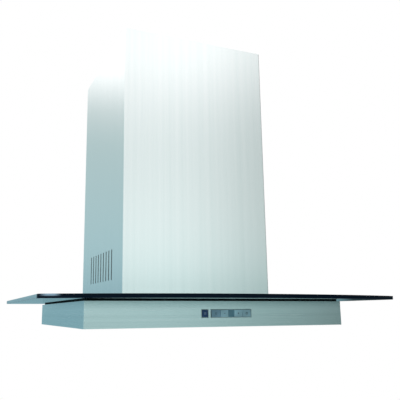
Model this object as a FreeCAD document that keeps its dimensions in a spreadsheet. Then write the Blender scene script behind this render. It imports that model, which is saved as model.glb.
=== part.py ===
import FreeCAD, Part
import Sketcher
import math
import os

# Wall-mounted range hood: a flat glass canopy on a thin steel casing, under a telescopic chimney.
# Frame: X to the right seen from the front, Y into the wall, Z up.
# Origin: on the wall plane, on the centre line, level with the casing's bottom edge.

SIZES = [
    # glass canopy
    ("glass_width", 600.0),
    ("glass_side_overhang", 52.0),
    ("glass_bow", 55.0),
    ("glass_thickness", 6.0),
    ("glass_corner_radius", 10.0),
    ("glass_polish", 0.5),
    ("glass_hole_play", 1.0),
    ("glass_screw_rear", 50.0),
    ("glass_screw_from_front", 37.0),
    # casing, folded from one sheet
    ("casing_width", 455.0),
    ("casing_front_band", 69.0),
    ("casing_height", 40.0),
    ("casing_sheet", 1.2),
    ("casing_lip", 10.0),
    ("casing_bend_radius", 1.5),
    # throat: the way for the air from the casing up into the motor box
    ("throat_side_margin", 7.0),
    ("throat_rear", 24.0),
    ("throat_front_margin", 12.0),
    # gasket under the glass
    ("gasket_thickness", 2.0),
    ("gasket_inset", 4.5),
    ("gasket_band", 12.0),
    # chimney covers
    ("cover_width", 284.0),
    ("cover_depth", 298.0),
    ("cover_height", 490.0),
    ("cover_sheet", 1.0),
    ("cover_return", 12.0),
    ("cover_bend_radius", 1.6),
    ("cover_play", 0.7),
    ("upper_cover_height", 470.0),
    ("upper_cover_sink", 2.0),
    ("slot_count", 9),
    ("slot_pitch", 19.3),
    ("slot_width", 5.0),
    ("slot_length", 55.0),
    ("slot_first", 68.5),
    ("slot_rise", 32.5),
    ("bracket_drop", 40.0),
    ("bracket_height", 22.0),
    ("bracket_sheet", 1.5),
    ("bracket_play", 0.05),
    ("bracket_arm", 45.0),
    ("bracket_screw_from_wall", 30.0),
    ("bracket_pad_width", 24.0),
    ("bracket_hole_spacing", 120.0),
    ("bracket_hole_radius", 3.0),
    # motor box on the wall
    ("motor_box_side_space", 19.0),
    ("motor_box_front_space", 46.0),
    ("motor_box_height", 282.0),
    ("motor_box_sheet", 1.2),
    ("motor_box_flange", 11.0),
    ("flange_from_wall", 14.0),
    ("wall_hole_radius", 4.0),
    ("wall_hole_spacing", 180.0),
    ("wall_hole_rise", 62.0),
    # blower
    ("scroll_radius", 70.0),
    ("scroll_step", 10.0),
    ("scroll_growth", 25.0),
    ("motor_clearance", 8.1),
    ("scroll_sheet", 1.2),
    ("scroll_tongue", 16.0),
    ("scroll_flange", 14.0),
    ("axis_from_wall", 107.0),
    ("axis_rise", 102.0),
    ("inlet_radius", 52.0),
    ("impeller_radius", 61.0),
    ("impeller_side_gap", 9.0),
    ("blade_count", 24),
    ("blade_depth", 10.0),
    ("blade_thickness", 1.2),
    ("blade_lean", 4.0),
    ("blade_bow_radius", 9.0),
    ("impeller_disc", 2.0),
    ("impeller_ring", 2.5),
    ("hub_radius", 12.0),
    ("hub_half_length", 16.0),
    ("shaft_radius", 4.0),
    ("shaft_play", 0.03),
    ("motor_radius", 40.0),
    ("motor_length", 44.0),
    ("motor_bevel", 6.0),
    ("motor_boss_radius", 14.0),
    ("motor_boss", 5.0),
    ("shaft_tail", 5.2),
    ("shaft_nose", 2.0),
    ("bearing_play", 0.08),
    ("mount_plate", 2.5),
    ("mount_rim", 9.0),
    ("mount_arm", 10.0),
    ("ring_lip", 1.0),
    ("guard_plate", 1.5),
    ("guard_wire", 3.0),
    # air outlet
    ("collar_radius", 74.5),
    ("collar_wall", 2.5),
    ("collar_height", 38.0),
    ("collar_flange_radius", 88.0),
    ("collar_flange_thickness", 3.0),
    ("collar_lip", 3.0),
    ("collar_lip_thickness", 1.5),
    ("collar_screw_x", 62.0),
    ("collar_screw_y", 50.0),
    ("flap_thickness", 1.5),
    ("flap_play", 1.0),
    ("flap_rise", 14.0),
    ("flap_pin_radius", 1.8),
    ("flap_pin_offset", 2.6),
    ("flap_pin_end", 0.5),
    ("pin_play", 0.08),
    ("terminal_width", 80.0),
    ("terminal_height", 60.0),
    ("terminal_depth", 36.0),
    ("terminal_rise", 150.0),
    ("terminal_from_centre", 18.0),
    ("terminal_wall", 2.5),
    ("gland_radius", 8.0),
    ("gland_bore", 4.5),
    ("gland_hexagon", 5.0),
    ("gland_corner_ratio", 1.35),
    ("gland_dome", 9.0),
    ("capacitor_radius", 15.0),
    ("capacitor_length", 58.0),
    ("capacitor_clip", 1.5),
    ("clip_length", 23.2),
    ("clip_height", 18.0),
    # grease filters and the panel that carries them
    ("panel_sheet", 1.2),
    ("panel_play", 0.4),
    ("filter_width", 186.0),
    ("filter_depth", 262.0),
    ("filter_thickness", 9.0),
    ("filter_rim", 10.0),
    ("filter_skin", 1.0),
    ("filter_rear", 62.0),
    ("filter_gap_between", 16.0),
    ("filter_play", 1.5),
    ("filter_columns", 5),
    ("filter_rows", 7),
    ("filter_bar", 5.0),
    ("filter_front_rim", 25.0),
    ("hinge_inset", 3.0),
    ("lug_thickness", 2.5),
    ("lug_half", 4.0),
    ("hinge_pin_radius", 2.0),
    ("latch_width", 46.0),
    ("latch_depth", 16.0),
    ("latch_thickness", 3.2),
    ("latch_travel", 5.0),
    ("latch_rail", 1.0),
    ("latch_stop", 3.0),
    # lamps
    ("lamp_spacing", 320.0),
    ("lamp_from_front", 36.0),
    ("lamp_radius", 20.0),
    ("lamp_flange", 3.0),
    ("lamp_depth", 16.0),
    ("lamp_wall", 1.5),
    ("lamp_play", 0.3),
    ("lens_recess", 0.5),
    ("lens_thickness", 2.5),
    ("cap_sink", 2.0),
    # controls
    ("key_height", 10.8),
    ("key_centre_rise", 20.7),
    ("key_proud", 0.8),
    ("key_play", 0.2),
    ("key_travel", 1.0),
    ("key_flange", 1.0),
    ("power_key_left", -40.4),
    ("power_key_width", 9.8),
    ("strip_left", -24.4),
    ("light_key_width", 16.3),
    ("minus_key_width", 13.8),
    ("display_width", 10.4),
    ("plus_key_width", 15.4),
    ("timer_key_width", 15.0),
    ("cell_line", 0.5),
    ("bezel_rim", 1.0),
    ("bezel_plate", 1.6),
    ("bezel_border", 5.0),
    ("board_thickness", 1.6),
    ("board_depth", 11.0),
    ("switch_size", 6.0),
    ("switch_height", 3.5),
    ("plunger_length", 1.0),
    ("stem_width", 4.0),
    ("stem_clearance", 0.1),
    ("display_sink", 0.3),
    ("rim_proud", 0.3),
    ("housing_foot", 5.0),
    ("housing_wall", 1.5),
    ("housing_depth", 22.0),
    # fasteners
    ("screw_radius", 2.0),
    ("screw_head_radius", 4.0),
    ("screw_head_height", 2.2),
    ("low_head_height", 0.4),
    ("countersunk_radius", 3.2),
    ("panel_screw_inset", 5.2),
    ("screw_tail", 3.0),
    ("screw_end", 1.0),
    ("panel_screw_tail", 4.0),
    ("screw_play", 0.05),
    ("seat_gap", 0.3),
]

doc = FreeCAD.newDocument("range_hood")
sheet = doc.addObject("Spreadsheet::Sheet", "Sizes")
value_of = {}
parts = []


class Size:
    """A length with its value and the formula that it follows."""

    def __init__(self, value, formula):
        self.value = float(value)
        self.formula = formula

    def __add__(self, other):
        other = as_size(other)
        return Size(self.value + other.value, f"({self.formula} + {other.formula})")

    def __radd__(self, other):
        return as_size(other) + self

    def __sub__(self, other):
        other = as_size(other)
        return Size(self.value - other.value, f"({self.formula} - {other.formula})")

    def __rsub__(self, other):
        return as_size(other) - self

    def __mul__(self, other):
        other = as_size(other)
        return Size(self.value * other.value, f"({self.formula} * {other.formula})")

    def __rmul__(self, other):
        return as_size(other) * self

    def __truediv__(self, other):
        other = as_size(other)
        return Size(self.value / other.value, f"({self.formula} / {other.formula})")

    def __neg__(self):
        return Size(-self.value, f"(0 - {self.formula})")


def as_size(number):
    """Plain numbers join in as constants."""
    if isinstance(number, Size):
        return number
    return Size(number, f"({float(number)!r})")


def size(name):
    """The driving dimension with this name."""
    return Size(value_of[name], "Sizes." + name)


def fill_sheet():
    """Put every driving dimension in a cell of its own, with its name as alias."""
    for row, (name, value) in enumerate(SIZES, start=1):
        sheet.set(f"A{row}", name)
        sheet.set(f"B{row}", str(value))
        sheet.setAlias(f"B{row}", name)
        value_of[name] = value
    doc.recompute()


def bind(thing, **properties):
    """Tie properties to sizes."""
    for name, length in properties.items():
        length = as_size(length)
        setattr(thing, name, length.value)
        thing.setExpression(name, length.formula)


def put(thing, x, y, z, rotation=None):
    """Place a thing with its own origin at x, y, z."""
    x, y, z = as_size(x), as_size(y), as_size(z)
    rotation = rotation or FreeCAD.Rotation()
    thing.Placement = FreeCAD.Placement(FreeCAD.Vector(x.value, y.value, z.value), rotation)
    thing.setExpression("Placement.Base.x", x.formula)
    thing.setExpression("Placement.Base.y", y.formula)
    thing.setExpression("Placement.Base.z", z.formula)
    return thing


def box(name, x, y, z):
    """A block between two limits along each axis."""
    block = doc.addObject("Part::Box", name)
    bind(block, Length=x[1] - x[0], Width=y[1] - y[0], Height=z[1] - z[0])
    return put(block, x[0], y[0], z[0])


TURN = {
    "x": FreeCAD.Rotation(FreeCAD.Vector(0, 1, 0), 90),
    "y": FreeCAD.Rotation(FreeCAD.Vector(1, 0, 0), -90),
    "z": FreeCAD.Rotation(),
}


def rod(name, axis, radius, length, x, y, z):
    """A cylinder that starts at x, y, z and runs along the positive axis."""
    cylinder = doc.addObject("Part::Cylinder", name)
    bind(cylinder, Radius=radius, Height=length)
    return put(cylinder, x, y, z, TURN[axis])


def fuse(name, things):
    """Join things into one solid, or one group of solids where they stand apart."""
    joined = doc.addObject("Part::MultiFuse", name)
    joined.Shapes = things
    joined.Refine = True
    return joined


def cut(name, base, tools):
    """Take the tools away from the base."""
    result = doc.addObject("Part::Cut", name)
    result.Base = base
    result.Tool = tools[0] if len(tools) == 1 else fuse(name + "_tools", tools)
    result.Refine = True
    return result


def part(label, thing):
    """Name a finished sub-part."""
    thing.Label = label
    parts.append(thing)
    return thing


def plane_of(body, role):
    """One of the body's own origin planes."""
    for feature in body.Origin.OriginFeatures:
        if feature.Role == role:
            return feature
    return None


def new_sketch(body, name, role, offset=0.0):
    """A sketch on one of the body's origin planes, moved along the plane's normal."""
    sketch = body.newObject("Sketcher::SketchObject", name)
    sketch.AttachmentSupport = [(plane_of(body, role), "")]
    sketch.MapMode = "FlatFace"
    offset = as_size(offset)
    sketch.AttachmentOffset = FreeCAD.Placement(FreeCAD.Vector(0, 0, offset.value), FreeCAD.Rotation())
    sketch.setExpression("AttachmentOffset.Base.z", offset.formula)
    return sketch


def pin_point(sketch, geometry, end, point):
    """Hold one end of a line or arc at a point given by two sizes."""
    for kind, length in zip(("DistanceX", "DistanceY"), point):
        length = as_size(length)
        index = sketch.addConstraint(Sketcher.Constraint(kind, -1, 1, geometry, end, length.value))
        sketch.setExpression(f"Constraints[{index}]", length.formula)


def vector(point):
    """A point of a sketch as a vector."""
    return FreeCAD.Vector(as_size(point[0]).value, as_size(point[1]).value, 0)


def end_at(sketch, geometry, point):
    """Which end of a line or arc lies at a point."""
    start = sketch.getPoint(geometry, 1)
    return 1 if (start - vector(point)).Length < 1e-4 else 2


def outline(sketch, points, bends=None):
    """A closed outline with each corner held by two sizes.

    bends gives, for the stretch after a corner, a point on its arc and the arc's radius.
    """
    bends = bends or {}
    first = sketch.GeometryCount
    ends = points[1:] + points[:1]
    for index, (start, end) in enumerate(zip(points, ends)):
        if index in bends:
            stretch = Part.Arc(vector(start), vector(bends[index][0]), vector(end))
        else:
            stretch = Part.LineSegment(vector(start), vector(end))
        sketch.addGeometry(stretch, False)
    for index, point in enumerate(points):
        here = first + index
        before = first + (index - 1) % len(points)
        joint = (before, end_at(sketch, before, point), here, end_at(sketch, here, point))
        sketch.addConstraint(Sketcher.Constraint("Coincident", *joint))
        pin_point(sketch, here, joint[3], point)
    for index, (middle, radius) in bends.items():
        held = sketch.addConstraint(Sketcher.Constraint("Radius", first + index, radius.value))
        sketch.setExpression(f"Constraints[{held}]", radius.formula)


def rectangle(sketch, x, y):
    """An upright rectangle between two limits each way."""
    outline(sketch, [(x[0], y[0]), (x[1], y[0]), (x[1], y[1]), (x[0], y[1])])


def circle(sketch, centre, radius):
    """A circle with its centre and radius held by sizes."""
    radius = as_size(radius)
    normal = FreeCAD.Vector(0, 0, 1)
    index = sketch.addGeometry(Part.Circle(vector(centre), normal, radius.value), False)
    pin_point(sketch, index, 3, centre)
    held = sketch.addConstraint(Sketcher.Constraint("Radius", index, radius.value))
    sketch.setExpression(f"Constraints[{held}]", radius.formula)


def new_body(name):
    """An empty body."""
    return doc.addObject("PartDesign::Body", name)


def pad(body, sketch, name, length, midplane=False, reverse=False):
    """Thicken a sketch."""
    feature = body.newObject("PartDesign::Pad", name)
    feature.Profile = sketch
    bind(feature, Length=length)
    feature.Midplane = midplane
    feature.Reversed = reverse
    body.Tip = feature
    return feature


def pocket(body, sketch, name, length, midplane=False, reverse=False):
    """Cut a sketch into the body."""
    feature = body.newObject("PartDesign::Pocket", name)
    feature.Profile = sketch
    bind(feature, Length=length)
    feature.Midplane = midplane
    feature.Reversed = reverse
    body.Tip = feature
    return feature


def revolve(body, sketch, name):
    """Turn a sketch once round its own vertical axis."""
    feature = body.newObject("PartDesign::Revolution", name)
    feature.Profile = sketch
    feature.ReferenceAxis = (sketch, ["V_Axis"])
    feature.Angle = 360.0
    body.Tip = feature
    return feature


def pattern_along(body, feature, sketch, name, length, count):
    """Repeat a feature along the sketch's horizontal axis."""
    pattern = body.newObject("PartDesign::LinearPattern", name)
    pattern.Originals = [feature]
    pattern.Direction = (sketch, ["H_Axis"])
    bind(pattern, Length=length)
    pattern.Occurrences = int(count.value)
    pattern.setExpression("Occurrences", count.formula)
    body.Tip = pattern
    return pattern


def edges_where(feature, wanted):
    """Names of the edges whose bounding box passes a test."""
    doc.recompute()
    names = []
    for index, edge in enumerate(feature.Shape.Edges, start=1):
        if wanted(edge.BoundBox):
            names.append(f"Edge{index}")
    return names


def dress(body, base, kind, name, edges, radius):
    """Round or bevel edges of the body."""
    feature = body.newObject("PartDesign::" + kind, name)
    feature.Base = (base, edges)
    if kind == "Fillet":
        bind(feature, Radius=radius)
    else:
        bind(feature, Size=radius)
    body.Tip = feature
    return feature


def close(first, second):
    """Whether two places are the same."""
    return abs(first - as_size(second).value) < 0.01


# --- shared places, all worked out from the driving dimensions ---

fill_sheet()

past = as_size(1.0)  # how far a cutting tool reaches past what it cuts
casing_half = size("casing_width") / 2
casing_front = -size("filter_rear") - size("filter_depth") - size("casing_front_band")
casing_top = size("casing_height")
glass_bottom = casing_top + size("gasket_thickness")
glass_top = glass_bottom + size("glass_thickness")
motor_box_half = size("cover_width") / 2 - size("motor_box_side_space")
motor_box_front = size("motor_box_front_space") - size("cover_depth")
throat_half = motor_box_half - size("throat_side_margin")
throat_x = (-throat_half, throat_half)
throat_y = (motor_box_front + size("throat_front_margin"), -size("throat_rear"))
motor_box_top = glass_top + size("motor_box_height")
flange_top = glass_top + size("motor_box_sheet")
flange_half = motor_box_half + size("motor_box_flange")
flange_front = motor_box_front - size("motor_box_flange")
glass_screw_x = motor_box_half + size("motor_box_flange") / 2
glass_screw_places = [
    (side * glass_screw_x, y)
    for side in (-1, 1)
    for y in (-size("glass_screw_rear"), motor_box_front + size("glass_screw_from_front"))
]
scroll_half = (
    motor_box_half - size("motor_box_sheet") - size("motor_clearance") - size("shaft_tail")
    - size("motor_boss") - size("motor_length") - size("mount_plate")
)
impeller_y = -size("axis_from_wall")
impeller_z = glass_top + size("axis_rise")
outlet_front = impeller_y - size("scroll_radius") - size("scroll_growth")
outlet_rear = impeller_y + size("scroll_step") / 2 - size("scroll_tongue")
collar_y = (outlet_front + outlet_rear) / 2
collar_bore = size("collar_radius") - size("collar_wall")
screw_hole = size("screw_radius") + size("screw_play")


# --- glass and casing ---


def glass_canopy():
    """Flat plate whose front edge bows gently forward, with the throat cut out of it."""
    body = new_body("glass")
    sketch = new_sketch(body, "glass_outline", "XY_Plane", glass_bottom)
    half = size("glass_width") / 2
    depth = size("glass_side_overhang") - casing_front
    bow = size("glass_bow")
    radius = (bow * bow + half * half) / (bow * 2)
    corners = [(-half, -depth), (half, -depth), (half, 0.0), (-half, 0.0)]
    outline(sketch, corners, {0: ((0.0, -depth - bow), radius)})
    plate = pad(body, sketch, "glass_plate", size("glass_thickness"))
    corner_edges = edges_where(
        plate, lambda b: b.ZLength > 1 and b.XLength < 0.01 and close(b.YMin, -depth)
    )
    rounded = dress(body, plate, "Fillet", "glass_corners", corner_edges, size("glass_corner_radius"))
    rim = edges_where(rounded, lambda b: b.ZLength < 0.01 and b.YMin < -1)
    polished = dress(body, rounded, "Chamfer", "polished_edge", rim, size("glass_polish"))
    holes = new_sketch(body, "glass_holes", "XY_Plane", glass_top)
    rectangle(holes, throat_x, throat_y)
    for place in glass_screw_places:
        circle(holes, place, size("screw_radius") + size("glass_hole_play"))
    pocket(body, holes, "glass_cut_outs", size("glass_thickness"))
    return part("glass_canopy", body)


def ring_plate(name, outer_x, outer_y, inner_x, inner_y, z):
    """A flat frame."""
    outer = box(name + "_outer", outer_x, outer_y, z)
    inner = box(name + "_inner", inner_x, inner_y, (z[0] - past, z[1] + past))
    return cut(name, outer, [inner])


def glass_screw_rods(name, radius, z0, length):
    """Upright rods at the places of the screws that clamp the glass."""
    return [
        rod(f"{name}_{index}", "z", radius, length, x, y, z0)
        for index, (x, y) in enumerate(glass_screw_places)
    ]


def canopy_gasket():
    """Two rubber frames under the glass: one round the casing's edge, one round the throat."""
    z = (casing_top, glass_bottom)
    inset = size("gasket_inset")
    band = inset + size("gasket_band")
    rim = ring_plate(
        "gasket_rim",
        (inset - casing_half, casing_half - inset),
        (casing_front + inset, -inset),
        (band - casing_half, casing_half - band),
        (casing_front + band, -band),
        z,
    )
    inner = ring_plate(
        "gasket_throat",
        (-flange_half, flange_half),
        (flange_front, -size("flange_from_wall")),
        throat_x,
        throat_y,
        z,
    )
    depth = size("gasket_thickness") + 2 * past
    holes = glass_screw_rods("gasket_hole", screw_hole, casing_top - past, depth)
    return part("canopy_gasket", cut("gasket", fuse("gasket_frames", [rim, inner]), holes))


def body_casing():
    """Folded steel tray, open below, with a lip that carries the bottom panel."""
    sheet_thickness = size("casing_sheet")
    lip = size("casing_lip")
    inner_half = casing_half - sheet_thickness
    outer = box("casing_outer", (-casing_half, casing_half), (casing_front, 0.0), (0.0, casing_top))
    hollow = box(
        "casing_hollow",
        (-inner_half, inner_half),
        (casing_front + sheet_thickness, -sheet_thickness),
        (sheet_thickness, casing_top - sheet_thickness),
    )
    mouth = box(
        "casing_mouth",
        (lip - casing_half, casing_half - lip),
        (casing_front + lip, -lip),
        (-1.0, sheet_thickness + past),
    )
    throat = box("casing_throat", throat_x, throat_y,
                 (casing_top - sheet_thickness - past, casing_top + past))
    windows = [
        box(
            f"casing_window_{index}",
            (limits[0] - window_margin, limits[1] + window_margin),
            (casing_front - past, casing_front + sheet_thickness + past),
            (key_bottom - window_margin, key_top + window_margin),
        )
        for index, limits in enumerate((power_x, strip_x))
    ]
    holes = glass_screw_rods(
        "casing_hole", screw_hole, casing_top - sheet_thickness - past, sheet_thickness + 2 * past
    )
    holes += panel_screw_rods("casing_lip_hole", screw_hole, -1.0, sheet_thickness + 2 * past)
    holes += countersinks("casing_countersink", size("screw_play"))
    shell = cut("casing_shell", outer, [hollow, mouth, throat] + windows + holes)
    front_edges = [
        (index, size("casing_bend_radius").value, size("casing_bend_radius").value)
        for index in edge_numbers(shell, lambda b: b.ZLength > 30 and close(b.YMax, casing_front))
    ]
    rounded = doc.addObject("Part::Fillet", "casing_bends")
    rounded.Base = shell
    rounded.Edges = front_edges
    return part("body_casing", rounded)


def edge_numbers(thing, wanted):
    """Numbers of the edges whose bounding box passes a test."""
    return [int(name[4:]) for name in edges_where(thing, wanted)]


# --- chimney covers ---


def channel(name, half, front, rear, base, height, sheet_thickness):
    """A folded channel, open to the wall, with narrow returns along its rear edges."""
    body = new_body(name)
    sketch = new_sketch(body, name + "_profile", "XY_Plane", base)
    edge = half - size("cover_return")
    inner = half - sheet_thickness
    points = [
        (-half, rear), (-half, front), (half, front), (half, rear), (edge, rear),
        (edge, rear - sheet_thickness), (inner, rear - sheet_thickness),
        (inner, front + sheet_thickness), (-inner, front + sheet_thickness),
        (-inner, rear - sheet_thickness), (-edge, rear - sheet_thickness), (-edge, rear),
    ]
    outline(sketch, points)
    walls = pad(body, sketch, name + "_walls", height)
    bends = edges_where(walls, lambda b: b.ZLength > 100 and close(b.YMax, front))
    outer = dress(body, walls, "Fillet", name + "_bends", bends, size("cover_bend_radius"))
    inner_bends = edges_where(
        outer, lambda b: b.ZLength > 100 and close(b.YMax, front + sheet_thickness) and b.XLength < 0.01
    )
    inner_radius = size("cover_bend_radius") - size("cover_sheet")
    dress(body, outer, "Fillet", name + "_inner_bends", inner_bends, inner_radius)
    return body


def lower_cover():
    """The chimney cover in view, with a row of upright air slots in each side."""
    half = size("cover_width") / 2
    body = channel(
        "lower_channel", half, -size("cover_depth"), 0.0, glass_top, size("cover_height"),
        size("cover_sheet"),
    )
    sketch = new_sketch(body, "air_slot", "YZ_Plane")
    middle = size("slot_first") - size("cover_depth")
    slot_half = size("slot_width") / 2
    bottom = glass_top + size("slot_rise")
    rectangle(
        sketch, (middle - slot_half, middle + slot_half), (bottom, bottom + size("slot_length"))
    )
    slot = pocket(body, sketch, "air_slot_pair", size("cover_width") + 2 * past, midplane=True)
    run = size("slot_pitch") * (size("slot_count") - 1)
    pattern_along(body, slot, sketch, "air_slots", run, size("slot_count"))
    return part("lower_cover", body)


upper_gap = size("cover_sheet") + size("cover_play")
upper_half = size("cover_width") / 2 - upper_gap
upper_front = upper_gap - size("cover_depth")
upper_top = glass_top + size("cover_height") - size("upper_cover_sink")
upper_inner = upper_half - size("cover_sheet")
bracket_z = upper_top - size("bracket_drop")
bracket_middle = bracket_z + size("bracket_height") / 2


def bracket_screw_rods(name, radius, reach, length):
    """Rods along X at the two sides of the ceiling bracket; reach is where the right one starts."""
    y = -size("bracket_screw_from_wall")
    right = rod(name + "_right", "x", radius, length, reach, y, bracket_middle)
    left = rod(name + "_left", "x", radius, length, -reach - length, y, bracket_middle)
    return [left, right]


def upper_cover():
    """The telescopic cover, pushed down inside the lower one."""
    height = size("upper_cover_height")
    body = channel(
        "upper_channel", upper_half, upper_front, -upper_gap, upper_top - height, height,
        size("cover_sheet"),
    )
    sketch = new_sketch(body, "bracket_hole", "YZ_Plane")
    circle(sketch, (-size("bracket_screw_from_wall"), bracket_middle), screw_hole)
    pocket(body, sketch, "bracket_holes", size("cover_width"), midplane=True)
    return part("upper_cover", body)


def ceiling_bracket():
    """Strip bent to a U that joins the upper cover to the wall."""
    metal = size("bracket_sheet")
    half = upper_inner - size("bracket_play")
    rear = -upper_gap - size("cover_sheet") - size("bracket_play")
    z = (bracket_z, bracket_z + size("bracket_height"))
    web = box("bracket_web", (-half, half), (rear - metal, rear), z)
    solids = [web]
    for side, limits in (("left", (-half, metal - half)), ("right", (half - metal, half))):
        solids.append(box("bracket_arm_" + side, limits, (rear - size("bracket_arm"), rear), z))
    holes = bracket_screw_rods("bracket_side_hole", screw_hole, half - metal - past, metal + 2 * past)
    pad_half = size("bracket_pad_width") / 2
    for side, sign in (("left", -1), ("right", 1)):
        x = size("bracket_hole_spacing") / 2 * sign
        solids.append(box("bracket_pad_" + side, (x - pad_half, x + pad_half), (rear, 0.0), z))
        holes.append(wall_rod("bracket_wall_hole_" + side, size("bracket_hole_radius"), x,
                              bracket_middle, rear - metal - past))
    return part("ceiling_bracket", cut("bracket", fuse("bracket_strip", solids), holes))


def wall_rod(name, radius, x, z, start):
    """A rod along Y from a start in front of the wall to just behind the wall plane."""
    return rod(name, "y", radius, 1 - start, x, start, z)


def bracket_screws():
    """Two low-headed screws through the sides of the upper cover into the bracket."""
    shank = size("cover_sheet") + size("bracket_play") + size("bracket_sheet") + size("screw_end")
    shanks = bracket_screw_rods("bracket_shank", size("screw_radius"), upper_half - shank, shank)
    heads = bracket_screw_rods(
        "bracket_head", size("screw_head_radius"), upper_half, size("low_head_height")
    )
    pairs = [fuse(f"bracket_screw_{index}", list(pair)) for index, pair in enumerate(zip(shanks, heads))]
    return part("bracket_screws", fuse("bracket_screw_pair", pairs))


# --- motor box and blower ---

wall_hole_low = glass_top + size("wall_hole_rise")
wall_hole_places = [
    (side * size("wall_hole_spacing") / 2, wall_hole_low + level * size("wall_hole_spacing"))
    for side in (-1, 1)
    for level in (0, 1)
]
collar_screw_places = [
    (side * size("collar_screw_x"), collar_y + row * size("collar_screw_y"))
    for side in (-1, 1)
    for row in (-1, 1)
]


def collar_screw_rods(name, radius, z0, length):
    """Upright rods at the four screws that clamp collar, box and scroll together."""
    return [
        rod(f"{name}_{index}", "z", radius, length, x, y, z0)
        for index, (x, y) in enumerate(collar_screw_places)
    ]


def motor_box():
    """Steel box on the wall that carries the whole hood; open below, flanged onto the glass."""
    metal = size("motor_box_sheet")
    walls = box("motor_walls", (-motor_box_half, motor_box_half), (motor_box_front, 0.0),
                (glass_top, motor_box_top))
    flange = box("motor_flange", (-flange_half, flange_half),
                 (flange_front, -size("flange_from_wall")), (glass_top, flange_top))
    hollow = box("motor_hollow", (metal - motor_box_half, motor_box_half - metal),
                 (motor_box_front + metal, -metal), (glass_top - past, motor_box_top - metal))
    tools = [hollow, rod("outlet_hole", "z", collar_bore, metal + 2 * past, 0.0, collar_y,
                         motor_box_top - metal - past)]
    for index, (x, z) in enumerate(wall_hole_places):
        tools.append(wall_rod(f"wall_hole_{index}", size("wall_hole_radius"), x, z, -metal - past))
    tools += glass_screw_rods("flange_hole", screw_hole, glass_top - past, metal + 2 * past)
    tools += collar_screw_rods("top_hole", screw_hole, motor_box_top - metal - past, metal + 2 * past)
    return part("motor_box", cut("motor_box_shell", fuse("motor_box_solid", [walls, flange]), tools))


def headed_screws(name, places, head_z, length):
    """Pan-headed screws that point down, their heads sitting on head_z."""
    screws = []
    for index, (x, y) in enumerate(places):
        shank = rod(f"{name}_shank_{index}", "z", size("screw_radius"), length, x, y, head_z - length)
        head = rod(f"{name}_head_{index}", "z", size("screw_head_radius"), size("screw_head_height"),
                   x, y, head_z)
        screws.append(fuse(f"{name}_{index}", [shank, head]))
    return part(name, fuse(name + "_group", screws))


def scroll_outline(name, growth):
    """The scroll's spiral casing as a solid; growth moves its skin out, or in when negative."""
    body = new_body(name)
    sketch = new_sketch(body, name + "_spiral", "YZ_Plane")
    step = size("scroll_step")
    radii = [size("scroll_radius") + step * turn + growth for turn in range(3)]
    near, far = impeller_y + step / 2, impeller_y - step / 2
    low, high = impeller_z - step / 2, impeller_z + step / 2
    top = motor_box_top - size("motor_box_sheet")
    points = [
        (near, low + radii[0]),
        (near + radii[0], low),
        (far, low - radii[1]),
        (far - radii[2], high),
        (far - radii[2], top),
        (outlet_rear + growth, top),
        (outlet_rear + growth, low + radii[0]),
    ]
    slant = math.sqrt(0.5)
    bends = {
        0: ((near + radii[0] * slant, low + radii[0] * slant), radii[0]),
        1: ((far + radii[1] * slant, low - radii[1] * slant), radii[1]),
        2: ((far - radii[2] * slant, high - radii[2] * slant), radii[2]),
    }
    outline(sketch, points, bends)
    pad(body, sketch, name + "_block", (scroll_half + growth) * 2, midplane=True)
    return body


def scroll_mouth(name, top):
    """The way out of the scroll and through its frame."""
    metal = size("scroll_sheet")
    return box(name, (metal - scroll_half, scroll_half - metal),
               (outlet_front + metal, outlet_rear - metal), (top - metal - past, top + past))


def scroll_housing():
    """Spiral sheet housing with an inlet in each side, spot-welded under its frame."""
    metal = size("scroll_sheet")
    top = motor_box_top - size("motor_box_sheet")
    half = scroll_half
    shell = scroll_outline("scroll_skin", 0.0)
    hollow = scroll_outline("scroll_inside", -metal)
    mouth = scroll_mouth("scroll_mouth", top)
    trim = box("scroll_trim", (-half - past, half + past), (outlet_front - past, outlet_rear + past),
               (top - metal, top + past))
    inlets = rod("scroll_inlets", "x", size("inlet_radius"), half * 2 + 2 * past, -half - past,
                 impeller_y, impeller_z)
    return part("scroll_housing", cut("scroll", shell, [hollow, mouth, trim, inlets]))


def scroll_frame():
    """Flat frame round the scroll's mouth, held under the box's top by the collar's screws."""
    metal = size("scroll_sheet")
    top = motor_box_top - size("motor_box_sheet")
    border = size("scroll_flange")
    plate = box("scroll_frame_plate", (-scroll_half - border, scroll_half + border),
                (outlet_front - border, outlet_rear + border), (top - metal, top))
    holes = collar_screw_rods("scroll_frame_hole", screw_hole, top - metal - past, metal + 2 * past)
    mouth = scroll_mouth("frame_mouth", top)
    return part("scroll_frame", cut("scroll_frame_sheet", plate, [mouth] + holes))


def blade_profile(sketch):
    """One forward-curved blade, bowed between the fan's inner and outer radius."""
    outer = size("impeller_radius")
    inner = outer - size("blade_depth")
    half = size("blade_thickness") / 2
    lean = size("blade_lean")
    bow = size("blade_bow_radius")
    points = [(inner, -half), (outer, lean - half), (outer, lean + half), (inner, half)]
    depth, rise = size("blade_depth").value, lean.value
    chord = math.hypot(depth, rise)
    sag = bow.value - math.sqrt(bow.value ** 2 - chord ** 2 / 4)
    bulge = (rise / chord * sag, -depth / chord * sag)
    middle = ((inner + outer) / 2 + bulge[0], lean / 2 + bulge[1])
    bends = {
        0: ((middle[0], middle[1] - half), bow),
        2: ((middle[0], middle[1] + half), bow),
    }
    outline(sketch, points, bends)


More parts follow.
